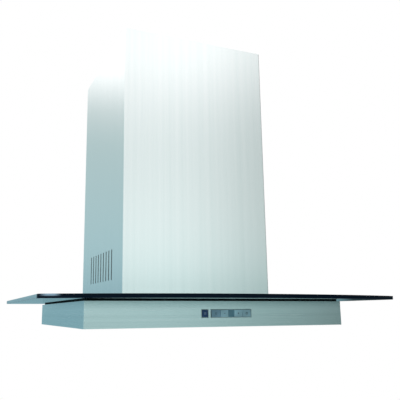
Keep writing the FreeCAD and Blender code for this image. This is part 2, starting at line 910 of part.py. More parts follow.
def impeller():
    """Double-inlet fan wheel: hub and middle disc, curved blades, a ring at each end."""
    body = new_body("fan_wheel")
    outer = size("impeller_radius")
    half = scroll_half - size("impeller_side_gap")
    bore = size("shaft_radius") + size("shaft_play")
    disc = size("impeller_disc") / 2
    hub = size("hub_half_length")
    disc_sketch = new_sketch(body, "hub_profile", "XZ_Plane")
    outline(disc_sketch, [
        (bore, -hub), (size("hub_radius"), -hub), (size("hub_radius"), -disc), (outer, -disc),
        (outer, disc), (size("hub_radius"), disc), (size("hub_radius"), hub), (bore, hub),
    ])
    revolve(body, disc_sketch, "hub_and_disc")
    blade_sketch = new_sketch(body, "blade_outline", "XY_Plane")
    blade_profile(blade_sketch)
    blade = pad(body, blade_sketch, "blade", half * 2, midplane=True)
    doc.recompute()
    blades = body.newObject("PartDesign::PolarPattern", "blades")
    blades.Originals = [blade]
    blades.Axis = (blade_sketch, ["N_Axis"])
    blades.Angle = 360.0
    blades.Occurrences = int(size("blade_count").value)
    blades.setExpression("Occurrences", "Sizes.blade_count")
    body.Tip = blades
    rings = new_sketch(body, "end_rings", "XZ_Plane")
    ring = size("impeller_ring")
    rectangle(rings, (outer - size("blade_depth"), outer), (half - ring, half))
    rectangle(rings, (outer - size("blade_depth"), outer), (-half, ring - half))
    revolve(body, rings, "rings")
    put(body, 0.0, impeller_y, impeller_z, TURN["x"])
    return part("impeller", body)


mount_start = scroll_half
motor_start = mount_start + size("mount_plate")
motor_bore = size("shaft_radius") + size("bearing_play")


def motor_shaft():
    """Steel shaft from the rear of the motor to the hub."""
    start = -size("hub_half_length") - size("shaft_nose")
    end = motor_start + size("motor_length") + size("motor_boss") + size("shaft_tail")
    shaft = rod("shaft", "x", size("shaft_radius"), end - start, start, impeller_y, impeller_z)
    return part("motor_shaft", shaft)


def motor():
    """Stator can with bevelled end bells and a bearing boss at the rear."""
    body = new_body("motor_can")
    sketch = new_sketch(body, "can_profile", "XZ_Plane")
    radius, length = size("motor_radius"), size("motor_length")
    bevel, boss = size("motor_bevel"), size("motor_boss_radius")
    outline(sketch, [
        (motor_bore, 0.0), (radius - bevel, 0.0), (radius, bevel), (radius, length - bevel),
        (radius - bevel, length), (boss, length), (boss, length + size("motor_boss")),
        (motor_bore, length + size("motor_boss")),
    ])
    revolve(body, sketch, "can")
    put(body, motor_start, impeller_y, impeller_z, TURN["x"])
    return part("motor", body)


def spoked_plate(name, thickness, start, rings, spokes, spoke_width):
    """Flat plate of rings joined by spokes, standing square to the shaft."""
    x = start
    solids = []
    for index, (inner, outer) in enumerate(rings):
        rim = rod(f"{name}_rim_{index}", "x", outer, thickness, x, impeller_y, impeller_z)
        hole = rod(f"{name}_hole_{index}", "x", inner, thickness + 2 * past, x - past, impeller_y, impeller_z)
        solids.append(cut(f"{name}_ring_{index}", rim, [hole]))
    reach_in = (rings[0][0] + rings[0][1]) / 2
    reach_out = (rings[-1][0] + rings[-1][1]) / 2
    for index in range(spokes):
        angle = 360.0 * index / spokes + 90.0
        spoke = doc.addObject("Part::Box", f"{name}_spoke_{index}")
        bind(spoke, Length=thickness, Width=reach_out - reach_in, Height=spoke_width)
        turn = FreeCAD.Rotation(FreeCAD.Vector(1, 0, 0), angle)
        along = turn.multVec(FreeCAD.Vector(0, 1, 0))
        across = turn.multVec(FreeCAD.Vector(0, 0, 1))
        y = impeller_y + reach_in * along.y - spoke_width / 2 * across.y
        z = impeller_z + reach_in * along.z - spoke_width / 2 * across.z
        put(spoke, x, y, z, turn)
        solids.append(spoke)
    return fuse(name + "_plate", solids)


def motor_mount():
    """Three-armed plate on the scroll's right side that holds the motor."""
    rings = [
        (size("motor_boss_radius"), size("motor_radius") - size("motor_bevel")),
        (size("inlet_radius") - size("ring_lip"), size("inlet_radius") + size("mount_rim")),
    ]
    plate = spoked_plate("mount", size("mount_plate"), mount_start, rings, 3, size("mount_arm"))
    return part("motor_mount", plate)


def inlet_guard():
    """Flat guard over the left inlet: two rings and six spokes."""
    thickness = size("guard_plate")
    middle = size("inlet_radius") / 2
    wire = size("guard_wire")
    rings = [
        (middle - wire, middle),
        (size("inlet_radius") - size("ring_lip"), size("inlet_radius") + size("mount_rim")),
    ]
    plate = spoked_plate("guard", thickness, -mount_start - thickness, rings, 6, wire)
    return part("inlet_guard", plate)


# --- air outlet ---

collar_base = motor_box_top
flap_axis_z = collar_base + size("flap_rise")
flap_axis_offset = size("flap_pin_offset")


def flap_rods(name, radius, half):
    """Rods along X on the two flap axes."""
    return [
        rod(f"{name}_{index}", "x", radius, half * 2, -half, collar_y + flap_axis_offset * side,
            flap_axis_z)
        for index, side in enumerate((-1, 1))
    ]


def outlet_collar():
    """Moulded tube for the duct on its ring, with a lip under the flaps and holes for their pins."""
    body = new_body("collar_tube")
    sketch = new_sketch(body, "collar_profile", "XZ_Plane")
    outer, height = size("collar_radius"), size("collar_height")
    foot = size("collar_flange_thickness")
    lip_top = size("flap_rise") - size("flap_thickness") / 2 - size("seat_gap")
    lip_base = lip_top - size("collar_lip_thickness")
    lip = collar_bore - size("collar_lip")
    outline(sketch, [
        (collar_bore, foot), (outer, foot), (outer, height), (collar_bore, height),
        (collar_bore, lip_top), (lip, lip_top), (lip, lip_base), (collar_bore, lip_base),
    ])
    revolve(body, sketch, "collar_turned")
    put(body, 0.0, collar_y, collar_base)
    holes = flap_rods("flap_hole", size("flap_pin_radius") + size("pin_play"), outer + past)
    return part("outlet_collar", cut("collar", body, holes))


def outlet_ring():
    """Flat ring under the tube, screwed down through the box's top."""
    thick = size("collar_flange_thickness")
    disc = rod("ring_disc", "z", size("collar_flange_radius"), thick, 0.0, collar_y, collar_base)
    hole = rod("ring_hole", "z", collar_bore, thick + 2 * past, 0.0, collar_y, collar_base - past)
    holes = collar_screw_rods("ring_screw_hole", screw_hole, collar_base - past, thick + 2 * past)
    return part("outlet_ring", cut("ring", disc, [hole] + holes))


def flap(name, side):
    """Half-round non-return flap with its pin moulded along the straight edge."""
    radius = collar_bore - size("flap_play")
    thickness = size("flap_thickness")
    z = flap_axis_z - thickness / 2
    disc = rod(name + "_disc", "z", radius, thickness, 0.0, collar_y, z)
    axis = collar_y + flap_axis_offset * side
    limits = (axis - radius * 2, axis) if side > 0 else (axis, axis + radius * 2)
    away = box(name + "_other_half", (-radius - past, radius + past), limits,
               (z - past, z + thickness + past))
    half = cut(name + "_half", disc, [away])
    reach = size("collar_radius") - size("flap_pin_end")
    pin = rod(name + "_pin", "x", size("flap_pin_radius"), reach * 2, -reach, axis, flap_axis_z)
    return part(name, fuse(name + "_solid", [half, pin]))


# --- electrics in front of the motor box ---

terminal_z = (glass_top + size("terminal_rise"),
              glass_top + size("terminal_rise") + size("terminal_height"))
terminal_x = (-size("terminal_from_centre") - size("terminal_width"), -size("terminal_from_centre"))


def terminal_box():
    """Moulded box for the mains connections, on the front of the motor box."""
    solid = box("terminal_block", terminal_x, (motor_box_front - size("terminal_depth"),
                motor_box_front), terminal_z)
    hole = rod("gland_seat", "z", size("gland_radius"), size("terminal_wall") + past,
               (terminal_x[0] + terminal_x[1]) / 2, motor_box_front - size("terminal_depth") / 2,
               terminal_z[1] - size("terminal_wall"))
    hollow = box("terminal_hollow",
                 (terminal_x[0] + size("terminal_wall"), terminal_x[1] - size("terminal_wall")),
                 (motor_box_front - size("terminal_depth") + size("terminal_wall"),
                  motor_box_front - size("terminal_wall")),
                 (terminal_z[0] + size("terminal_wall"), terminal_z[1] - size("terminal_wall")))
    return part("terminal_box", cut("terminal", solid, [hollow, hole]))


def cable_gland():
    """Gland for the mains cable in the top of the terminal box: thread, hexagon and dome, bored."""
    x = (terminal_x[0] + terminal_x[1]) / 2
    y = motor_box_front - size("terminal_depth") / 2
    top = terminal_z[1]
    play = size("screw_play")
    thread = rod("gland_thread", "z", size("gland_radius") - play, size("terminal_wall"), x, y,
                 top - size("terminal_wall"))
    hexagon = doc.addObject("Part::Prism", "gland_hexagon")
    hexagon.Polygon = 6
    corner_radius = size("gland_radius") * size("gland_corner_ratio")
    bind(hexagon, Circumradius=corner_radius, Height=size("gland_hexagon"))
    put(hexagon, x, y, top)
    dome_z = top + size("gland_hexagon")
    dome = rod("gland_dome", "z", size("gland_radius"), size("gland_dome"), x, y, dome_z)
    bore_length = size("terminal_wall") + size("gland_hexagon") + size("gland_dome") + 2 * past
    bore = rod("gland_bore_tool", "z", size("gland_bore"), bore_length, x, y,
               top - size("terminal_wall") - past)
    return part("cable_gland", cut("gland", fuse("gland_solid", [thread, hexagon, dome]), [bore]))


def capacitor():
    """Run capacitor of the motor, a can lying beside the terminal box in its clip."""
    radius = size("capacitor_radius")
    clip = size("capacitor_clip")
    y = motor_box_front - radius - clip
    z = (terminal_z[0] + terminal_z[1]) / 2
    start = size("terminal_from_centre")
    length = size("capacitor_length")
    can = rod("capacitor_can", "x", radius, length, start, y, z)
    middle = start + length / 2
    half_length, half_height = size("clip_length") / 2, size("clip_height") / 2
    saddle = box("capacitor_saddle", (middle - half_length, middle + half_length),
                 (motor_box_front - radius, motor_box_front), (z - half_height, z + half_height))
    return part("capacitor", fuse("capacitor_solid", [can, saddle]))


# --- bottom panel, grease filters and lamps ---

panel_bottom = size("casing_sheet")
panel_top = panel_bottom + size("panel_sheet")
panel_gap = size("casing_sheet") + size("panel_play")
filter_rear = -size("filter_rear")
filter_front = filter_rear - size("filter_depth")
filter_top = panel_bottom + size("filter_thickness")
hinge_y = filter_rear - size("hinge_inset")
hinge_z = panel_bottom + size("hinge_inset")
lamp_y = casing_front + size("lamp_from_front")
screw_row = casing_half - size("panel_screw_inset")
panel_screw_places = [
    (column * screw_row, row)
    for column in (-1, 0, 1)
    for row in (casing_front + size("panel_screw_inset"), -size("panel_screw_inset"))
]
SIDES = (("left", -1), ("right", 1))


def span(side, inner, outer):
    """Limits along X between two distances from the centre line, on either side of it."""
    return (inner, outer) if side > 0 else (-outer, -inner)


def filter_span(side, inset):
    """The filter's limits along X, drawn in by an inset."""
    inner = size("filter_gap_between") / 2
    return span(side, inner + inset, inner + size("filter_width") - inset)


def panel_screw_rods(name, radius, z0, length):
    """Upright rods at the screws that hold the bottom panel on the casing's lip."""
    return [
        rod(f"{name}_{index}", "z", radius, length, x, y, z0)
        for index, (x, y) in enumerate(panel_screw_places)
    ]


def countersinks(name, play):
    """Cones at the panel's screws, as wide as the head at the casing's bottom face."""
    cones = []
    for index, (x, y) in enumerate(panel_screw_places):
        cone = doc.addObject("Part::Cone", f"{name}_{index}")
        bind(cone, Radius1=size("countersunk_radius") + play, Radius2=size("screw_radius") + play,
             Height=size("casing_sheet"))
        cones.append(put(cone, x, y, 0.0))
    return cones


def panel_screws():
    """Countersunk screws, flush with the casing's bottom face."""
    length = size("casing_sheet") + size("panel_sheet") + size("panel_screw_tail")
    shanks = panel_screw_rods("panel_shank", size("screw_radius"), 0.0, length)
    heads = countersinks("panel_head", 0.0)
    screws = [fuse(f"panel_screw_{index}", list(pair)) for index, pair in enumerate(zip(shanks, heads))]
    return part("panel_screws", fuse("panel_screw_group", screws))


def bottom_panel():
    """Sheet on the casing's lip with openings for the filters and lamps, and hinge lugs."""
    half = casing_half - panel_gap
    plate = box("panel_plate", (-half, half), (casing_front + panel_gap, -panel_gap),
                (panel_bottom, panel_top))
    solids, tools = [plate], []
    play = size("filter_play")
    lug = size("lug_thickness")
    reach = size("lug_half")
    for name, side in SIDES:
        opening = filter_span(side, -play)
        tools.append(box("filter_opening_" + name, opening, (filter_front - play, filter_rear + play),
                         (panel_bottom - past, panel_top + past)))
        for place, limits in (("a", (opening[0] - lug, opening[0])),
                              ("b", (opening[1], opening[1] + lug))):
            solids.append(box(f"lug_{name}_{place}", limits, (hinge_y - reach, hinge_y + reach),
                              (panel_bottom, hinge_z + reach)))
        width = size("filter_width") + (play + lug + past) * 2
        tools.append(rod("lug_hole_" + name, "x", size("hinge_pin_radius") + size("pin_play"), width,
                         opening[0] - lug - past, hinge_y, hinge_z))
        tools.append(rod("lamp_hole_" + name, "z", size("lamp_radius") + size("lamp_play"),
                         size("panel_sheet") + 2 * past, side * size("lamp_spacing") / 2, lamp_y,
                         panel_bottom - past))
    tools += panel_screw_rods("panel_hole", screw_hole, panel_bottom - past, size("panel_sheet") + 2 * past)
    return part("bottom_panel", cut("panel", fuse("panel_solid", solids), tools))


def latch_blocks(name, side, grow, slide):
    """The latch's plate and its two side rails; grow widens them for the pocket they run in."""
    middle = (filter_span(side, 0.0)[0] + filter_span(side, 0.0)[1]) / 2
    half = size("latch_width") / 2 + grow
    rear = filter_front + size("latch_depth") + grow + slide
    front = filter_front - size("filter_play") + size("seat_gap")
    rail = size("latch_rail")
    rail_z = panel_bottom + (size("latch_thickness") - rail) / 2
    plate = box(name + "_plate", (middle - half, middle + half), (front, rear),
                (panel_bottom, panel_bottom + size("latch_thickness") + grow))
    rails = box(name + "_rails", (middle - half - rail, middle + half + rail),
                (filter_front + size("latch_stop") - grow, rear),
                (rail_z - grow, rail_z + rail + grow))
    return [plate, rails], middle


def filter_frame(name, side):
    """Pressed frame of a grease filter, with a barred lower face, hinge pins and latch pocket."""
    skin = size("filter_skin")
    rim = size("filter_rim")
    front_rim = size("filter_front_rim")
    solid = box(name + "_block", filter_span(side, 0.0), (filter_front, filter_rear),
                (panel_bottom, filter_top))
    hollow = box(name + "_hollow", filter_span(side, skin), (filter_front + front_rim, filter_rear - skin),
                 (panel_bottom + skin, filter_top - skin))
    x_limits = filter_span(side, rim)
    y_limits = (filter_front + front_rim + rim, filter_rear - rim)
    upper = box(name + "_upper_window", x_limits, y_limits, (filter_top - skin - past, filter_top + past))
    columns, rows = size("filter_columns"), size("filter_rows")
    bar = size("filter_bar")
    pitch_x = (x_limits[1] - x_limits[0] + bar) / columns
    pitch_y = (y_limits[1] - y_limits[0] + bar) / rows
    windows = []
    for column in range(int(columns.value)):
        for row in range(int(rows.value)):
            x = x_limits[0] + pitch_x * column
            y = y_limits[0] + pitch_y * row
            windows.append(box(f"{name}_window_{column}_{row}", (x, x + pitch_x - bar),
                               (y, y + pitch_y - bar), (panel_bottom - past, panel_bottom + skin + past)))
    gap = size("seat_gap")
    pocket_blocks, middle = latch_blocks(name + "_pocket", side, gap, size("latch_travel"))
    frame = cut(name + "_frame", solid, [hollow, upper] + windows + pocket_blocks)
    limits = filter_span(side, 0.0)
    reach = size("filter_play") + size("lug_thickness")
    pins = [
        rod(f"{name}_pin_a", "x", size("hinge_pin_radius"), reach + skin, limits[0] - reach, hinge_y,
            hinge_z),
        rod(f"{name}_pin_b", "x", size("hinge_pin_radius"), reach + skin, limits[1] - skin, hinge_y,
            hinge_z),
    ]
    return part(name, fuse(name + "_solid", [frame] + pins))


def filter_mesh(name, side):
    """The pack of expanded aluminium mesh that the frame holds."""
    skin = size("filter_skin")
    front = filter_front + size("filter_front_rim")
    return part(name, box(name + "_pack", filter_span(side, skin), (front, filter_rear - skin),
                          (panel_bottom + skin, filter_top - skin)))


def filter_latch(name, side):
    """Sliding latch in the filter's front rim, with a finger hollow in its lower face."""
    blocks, middle = latch_blocks(name, side, as_size(0.0), as_size(0.0))
    quarter = size("latch_width") / 4
    centre = filter_front + size("latch_depth") / 2
    dip = size("latch_depth") / 4
    hollow = box(name + "_finger_hollow", (middle - quarter, middle + quarter),
                 (centre - dip, centre + dip),
                 (panel_bottom - past, panel_bottom + size("latch_thickness") / 2))
    return part(name, cut(name + "_slide", fuse(name + "_solid", blocks), [hollow]))


def lamp_ring(name, outer, inner, x, z0, z1):
    """A ring about the lamp's axis."""
    rim = rod(name + "_rim", "z", outer, z1 - z0, x, lamp_y, z0)
    hole = rod(name + "_hole", "z", inner, z1 - z0 + 2 * past, x, lamp_y, z0 - past)
    return cut(name, rim, [hole])


def lamp(name, side):
    """A recessed lamp: bezel with sleeve, frosted lens, and the lamp itself behind it."""
    x = side * size("lamp_spacing") / 2
    radius, wall = size("lamp_radius"), size("lamp_wall")
    inner = radius - wall
    sleeve_top = panel_bottom + size("lamp_depth")
    flange = lamp_ring(f"bezel_flange_{name}", radius + size("lamp_flange"), inner, x, 0.0,
                       panel_bottom)
    sleeve = lamp_ring(f"bezel_sleeve_{name}", radius, inner, x, as_size(0.0), sleeve_top)
    part("lamp_bezel_" + name, fuse("bezel_" + name, [flange, sleeve]))
    lens_top = size("lens_recess") + size("lens_thickness")
    part("lamp_lens_" + name, rod("lens_" + name, "z", inner - size("screw_play"),
                                  size("lens_thickness"), x, lamp_y, size("lens_recess")))
    body = rod("lamp_module_" + name, "z", inner - size("screw_play"),
               sleeve_top - lens_top - size("cap_sink"), x, lamp_y, lens_top)
    cap = rod("lamp_cap_" + name, "z", inner / 2, size("lamp_depth") / 4, x, lamp_y,
              sleeve_top - size("cap_sink"))
    part("lamp_body_" + name, fuse("lamp_core_" + name, [body, cap]))


# --- controls ---

key_bottom = size("key_centre_rise") - size("key_height") / 2
key_top = size("key_centre_rise") + size("key_height") / 2
window_margin = size("key_play") + size("bezel_rim") + size("screw_play")
power_x = (size("power_key_left"), size("power_key_left") + size("power_key_width"))
cell_edges = [size("strip_left")]
for cell_name in ("light_key", "minus_key", "display", "plus_key", "timer_key"):
    cell_edges.append(cell_edges[-1] + size(cell_name + "_width"))
strip_x = (cell_edges[0], cell_edges[-1])
KEYS = [
    ("power_key", power_x),
    ("light_key", (cell_edges[0], cell_edges[1])),
    ("minus_key", (cell_edges[1], cell_edges[2])),
    ("plus_key", (cell_edges[3], cell_edges[4])),
    ("timer_key", (cell_edges[4], cell_edges[5])),
]
sheet_back = casing_front + size("casing_sheet")
plate_back = sheet_back + size("bezel_plate")
board_front = sheet_back + size("board_depth")
key_front = casing_front - size("key_proud")
switch_front = board_front - size("switch_height")
plunger_front = switch_front - size("plunger_length")


def cell_inset(limits):
    """A key's own limits: its cell less half a line on each side."""
    line = size("cell_line") / 2
    return (limits[0] + line, limits[1] - line)


def key(name, limits):
    """Push key: cap in view, flange behind the bezel, stem towards its switch."""
    x = cell_inset(limits)
    middle = (x[0] + x[1]) / 2
    flange = size("key_flange")
    cap = box(name + "_cap", x, (key_front, plate_back + size("screw_play")), (key_bottom, key_top))
    stop = box(name + "_stop", x, (plate_back + size("screw_play"),
               plate_back + size("screw_play") + flange), (key_bottom - flange, key_top + flange))
    stem_half = size("stem_width") / 2
    stem = box(name + "_stem", (middle - stem_half, middle + stem_half),
               (plate_back, plunger_front - size("key_travel") - size("stem_clearance")),
               (size("key_centre_rise") - stem_half, size("key_centre_rise") + stem_half))
    return part(name, fuse(name + "_solid", [cap, stop, stem]))


def display_window():
    """Dark window of the display, level with the keys, held in the bezel from behind."""
    x = cell_inset((cell_edges[2], cell_edges[3]))
    play = size("key_play")
    pane = box("display_pane", x, (key_front + size("display_sink"), plate_back),
               (key_bottom - play, key_top + play))
    foot = box("display_foot", x, (plate_back, board_front), (key_bottom, key_top))
    return part("display_window", fuse("display_solid", [pane, foot]))


def control_bezel():
    """Moulded plate behind the casing's front, whose rims frame the keys."""
    border = size("bezel_border")
    rim = size("bezel_rim") + size("key_play")
    play = size("key_play")
    plate = box("bezel_plate", (power_x[0] - border, strip_x[1] + border), (sheet_back, plate_back),
                (key_bottom - border, key_top + border))
    solids, tools = [plate], []
    for name, limits in (("power", power_x), ("strip", strip_x)):
        solids.append(box(f"{name}_rim", (limits[0] - rim, limits[1] + rim),
                          (casing_front - size("rim_proud"), sheet_back),
                          (key_bottom - rim, key_top + rim)))
        tools.append(box(f"{name}_hole", (limits[0] - play, limits[1] + play),
                         (casing_front - 2 * past, plate_back + past), (key_bottom - play, key_top + play)))
    return part("control_bezel", cut("bezel", fuse("bezel_solid", solids), tools))


def control_housing():
    """Moulded cup behind the bezel that holds the board."""
    border, wall = size("bezel_border"), size("housing_wall")
    x = (power_x[0] - border, strip_x[1] + border)
    z = (key_bottom - border, key_top + border)
    rear = plate_back + size("housing_depth")
    outer = box("housing_outer", x, (plate_back, rear), z)
    hollow = box("housing_hollow", (x[0] + wall, x[1] - wall), (plate_back - past, rear - wall),
                 (z[0] + wall, z[1] - wall))
    foot_y = (board_front + size("board_thickness"), rear - wall)
    foot = size("housing_foot")
    foot_limits = ((x[0] + wall, x[0] + wall + foot), (x[1] - wall - foot, x[1] - wall))
    feet = [
        box(f"board_foot_{index}", limits, foot_y, (z[0] + wall, z[1] - wall))
        for index, limits in enumerate(foot_limits)
    ]
    return part("control_housing", fuse("housing", [cut("housing_cup", outer, [hollow])] + feet))


def control_board():
    """Circuit board inside the housing."""
    border = size("bezel_border") - size("housing_wall") - size("screw_play")
    return part("control_board", box("board", (power_x[0] - border, strip_x[1] + border),
                (board_front, board_front + size("board_thickness")),
                (key_bottom - border, key_top + border)))


def key_switches():
    """Push switches on the board, one behind each key's stem."""
    half = size("switch_size") / 2
    switches = []
    for name, limits in KEYS:
        middle = (limits[0] + limits[1]) / 2
        rise = size("key_centre_rise")
        base = box(name + "_switch_base", (middle - half, middle + half), (switch_front, board_front),
                   (rise - half, rise + half))
        plunger = rod(name + "_plunger", "y", half / 2, size("plunger_length"), middle, plunger_front,
                      rise)
        switches.append(fuse(name + "_switch", [base, plunger]))
    return part("key_switches", fuse("switch_group", switches))


# --- assembly ---


def build():
    """Make every sub-part, from the glass down to the controls."""
    glass_canopy()
    canopy_gasket()
    body_casing()
    lower_cover()
    upper_cover()
    ceiling_bracket()
    bracket_screws()
    motor_box()
    headed_screws("glass_screws", glass_screw_places, flange_top, glass_screw_length)
    scroll_housing()
    scroll_frame()
    impeller()
    motor_shaft()
    motor()
    motor_mount()
    inlet_guard()
    outlet_collar()
    outlet_ring()
    headed_screws("collar_screws", collar_screw_places,
                  collar_base + size("collar_flange_thickness"), collar_screw_length)
    flap("flap_front", -1)
    flap("flap_rear", 1)
    terminal_box()
    cable_gland()
    capacitor()
    bottom_panel()
    panel_screws()
    for name, side in SIDES:
        filter_frame("filter_" + name, side)
        filter_mesh("filter_mesh_" + name, side)
        filter_latch("filter_latch_" + name, side)
        lamp(name, side)
    control_bezel()
    for name, limits in KEYS:
        key(name, limits)
    display_window()
    control_board()
    key_switches()
    control_housing()


def check_document():
    """Stop if anything in the document failed to build."""
    for thing in doc.Objects:
        if "Invalid" in thing.State or "Error" in thing.State:
            raise RuntimeError(f"{thing.Name} failed: {thing.State}")
    for thing in parts:
        if thing.Shape.isNull() or not thing.Shape.isValid():
            raise RuntimeError(f"{thing.Label} has no valid shape")


def write_parts():
    """Write each sub-part under its own name."""
    os.makedirs("parts", exist_ok=True)
    for thing in parts:
        thing.Shape.exportStep(os.path.join("parts", thing.Label + ".step"))
        print(f"{thing.Label}: {len(thing.Shape.Solids)} solid(s), {thing.Shape.Volume:.0f} mm3")


glass_screw_length = (
    size("motor_box_sheet") + size("glass_thickness") + size("gasket_thickness")
    + size("casing_sheet") + size("screw_tail")
)
collar_screw_length = (
    size("collar_flange_thickness") + size("motor_box_sheet") + size("scroll_sheet")
    + size("screw_tail")
)
build()
doc.recompute()
check_document()
write_parts()
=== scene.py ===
import math

import bmesh
import bpy
from mathutils import Matrix, Vector


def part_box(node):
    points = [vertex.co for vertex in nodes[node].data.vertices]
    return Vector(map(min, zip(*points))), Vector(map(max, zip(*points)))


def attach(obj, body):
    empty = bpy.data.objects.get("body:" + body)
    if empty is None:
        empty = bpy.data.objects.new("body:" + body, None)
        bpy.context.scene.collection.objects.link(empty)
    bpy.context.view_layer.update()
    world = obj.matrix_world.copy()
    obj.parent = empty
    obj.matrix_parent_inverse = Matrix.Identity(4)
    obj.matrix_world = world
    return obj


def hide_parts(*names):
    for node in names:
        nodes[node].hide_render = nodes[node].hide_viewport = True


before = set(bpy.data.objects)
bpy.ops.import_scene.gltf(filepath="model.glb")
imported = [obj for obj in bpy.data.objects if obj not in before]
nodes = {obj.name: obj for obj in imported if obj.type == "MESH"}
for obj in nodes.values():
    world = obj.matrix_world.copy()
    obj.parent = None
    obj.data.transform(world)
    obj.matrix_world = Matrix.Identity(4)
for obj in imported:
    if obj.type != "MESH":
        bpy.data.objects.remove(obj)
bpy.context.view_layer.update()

# ---------------------------------------------------------------- studio
# A white studio: the camera stands low in front of the hood's left half and looks a little up.
# One soft light hangs high in front on the left, a weaker one on the left, and the room is pale.

CAMERA_PLACE = (-0.3992, -1.1547, 0.0230)
CAMERA_YAW = 0.3853    # radians, as are the pitch and the roll
CAMERA_PITCH = 0.1934
CAMERA_ROLL = -0.0065
SENSOR = 36.0    # millimetres, as is the lens
LENS = 47.54
SHIFT = (0.0705, 0.0220)
FLOOR_CENTRE = (0.0, -0.2, -1.6)
FLOOR_RADIUS = 4.0
FLOOR_SEGMENTS = 96
HOOD_MIDDLE = (0.0, -0.1, 0.2)


def camera_matrix(place, yaw, pitch, roll):
    """Camera looking along yaw (from +Y towards +X) and pitch, turned by roll about its view."""
    reach = math.cos(pitch)
    forward = Vector((math.sin(yaw) * reach, math.cos(yaw) * reach, math.sin(pitch)))
    level = Vector((math.cos(yaw), -math.sin(yaw), 0.0))
    upright = level.cross(forward)
    right = math.cos(roll) * level + math.sin(roll) * upright
    up = math.cos(roll) * upright - math.sin(roll) * level
    turn = Matrix((right, up, -forward)).transposed().to_4x4()
    return Matrix.Translation(place) @ turn


lens = bpy.data.cameras.new("studio_camera")
lens.sensor_width = SENSOR
lens.lens = LENS
lens.shift_x, lens.shift_y = SHIFT
lens.clip_start = 0.01
camera = bpy.data.objects.new("studio_camera", lens)
camera.matrix_world = camera_matrix(CAMERA_PLACE, CAMERA_YAW, CAMERA_PITCH, CAMERA_ROLL)
bpy.context.collection.objects.link(camera)
bpy.context.scene.camera = camera
bpy.context.scene.view_settings.view_transform = "Standard"
bpy.context.scene.view_settings.look = "None"


def new_material(name):
    """A material with one Principled shader, returned as (material, node tree, shader)."""
    material = bpy.data.materials.new(name)
    material.use_nodes = True
    return material, material.node_tree, material.node_tree.nodes["Principled BSDF"]


def add(tree, kind, **values):
    """A node of that kind; values set its own properties, or its inputs by their names."""
    node = tree.nodes.new(kind)
    for name, value in values.items():
        if hasattr(node, name):
            setattr(node, name, value)
        else:
            node.inputs[name.replace("_", " ")].default_value = value
    return node


def new_object(name, mesh, *materials):
    """A mesh object in the scene with its materials."""
    piece = bpy.data.objects.new(name, mesh)
    for material in materials:
        piece.data.materials.append(material)
    bpy.context.collection.objects.link(piece)
    return piece


floor_material, floor_tree, floor_shader = new_material("studio_floor")
floor_shader.inputs["Base Color"].default_value = (0.60, 0.62, 0.63, 1.0)
floor_shader.inputs["Roughness"].default_value = 0.7
floor_mesh = bpy.data.meshes.new("studio_floor")
floor_edit = bmesh.new()
bmesh.ops.create_circle(floor_edit, cap_ends=True, segments=FLOOR_SEGMENTS, radius=FLOOR_RADIUS)
floor_edit.to_mesh(floor_mesh)
floor_edit.free()
floor = new_object("studio_floor", floor_mesh, floor_material)
floor.location = FLOOR_CENTRE


def studio_light(name, place, size, watts, colour):
    """A soft rectangular light that points at the hood and leaves no glint of its own."""
    data = bpy.data.lights.new(name, "AREA")
    data.shape = "RECTANGLE"
    data.size, data.size_y = size
    data.energy, data.color = watts, colour
    light = bpy.data.objects.new(name, data)
    light.location = place
    aim = Vector(HOOD_MIDDLE) - Vector(place)
    light.rotation_euler = aim.to_track_quat("-Z", "Y").to_euler()
    light.visible_glossy = False
    bpy.context.collection.objects.link(light)


studio_light("key_light", place=(-1.2, -2.2, 2.0), size=(1.6, 1.2), watts=48.0,
             colour=(1.0, 1.0, 1.0))
studio_light("fill_light", place=(-2.4, 0.2, 0.6), size=(1.2, 1.6), watts=15.0,
             colour=(0.85, 0.95, 1.0))


def feed(tree, socket, given):
    """Link a socket to another one, or set it to a value."""
    if isinstance(given, bpy.types.NodeSocket):
        tree.links.new(given, socket)
    else:
        socket.default_value = given


def remap(tree, source, **limits):
    """A value moved from one range into another; a limit that isn't given is 0 or 1."""
    node = add(tree, "ShaderNodeMapRange", **limits)
    tree.links.new(source, node.inputs["Value"])
    return node.outputs["Result"]


def ramp(tree, source, stops):
    """A value turned into a colour through (position, colour) stops."""
    node = tree.nodes.new("ShaderNodeValToRGB")
    elements = node.color_ramp.elements
    while len(elements) < len(stops):
        elements.new(0.5)
    for element, (position, colour) in zip(elements, stops):
        element.position = position
        element.color = (*colour, 1.0)
    tree.links.new(source, node.inputs["Fac"])
    return node.outputs["Color"]


# Where Blender's Mix node has its factor, its two colours and its mixed colour.
MIX_FACTOR, MIX_FIRST, MIX_SECOND, MIX_RESULT = 0, 6, 7, 2


def mix_colours(tree, factor, first, second, blend_type="MIX"):
    """The first colour at factor 0 and the second at 1; each may be a socket or a value."""
    node = add(tree, "ShaderNodeMix", data_type="RGBA", blend_type=blend_type)
    feed(tree, node.inputs[MIX_FACTOR], factor)
    feed(tree, node.inputs[MIX_FIRST], first)
    feed(tree, node.inputs[MIX_SECOND], second)
    return node.outputs[MIX_RESULT]


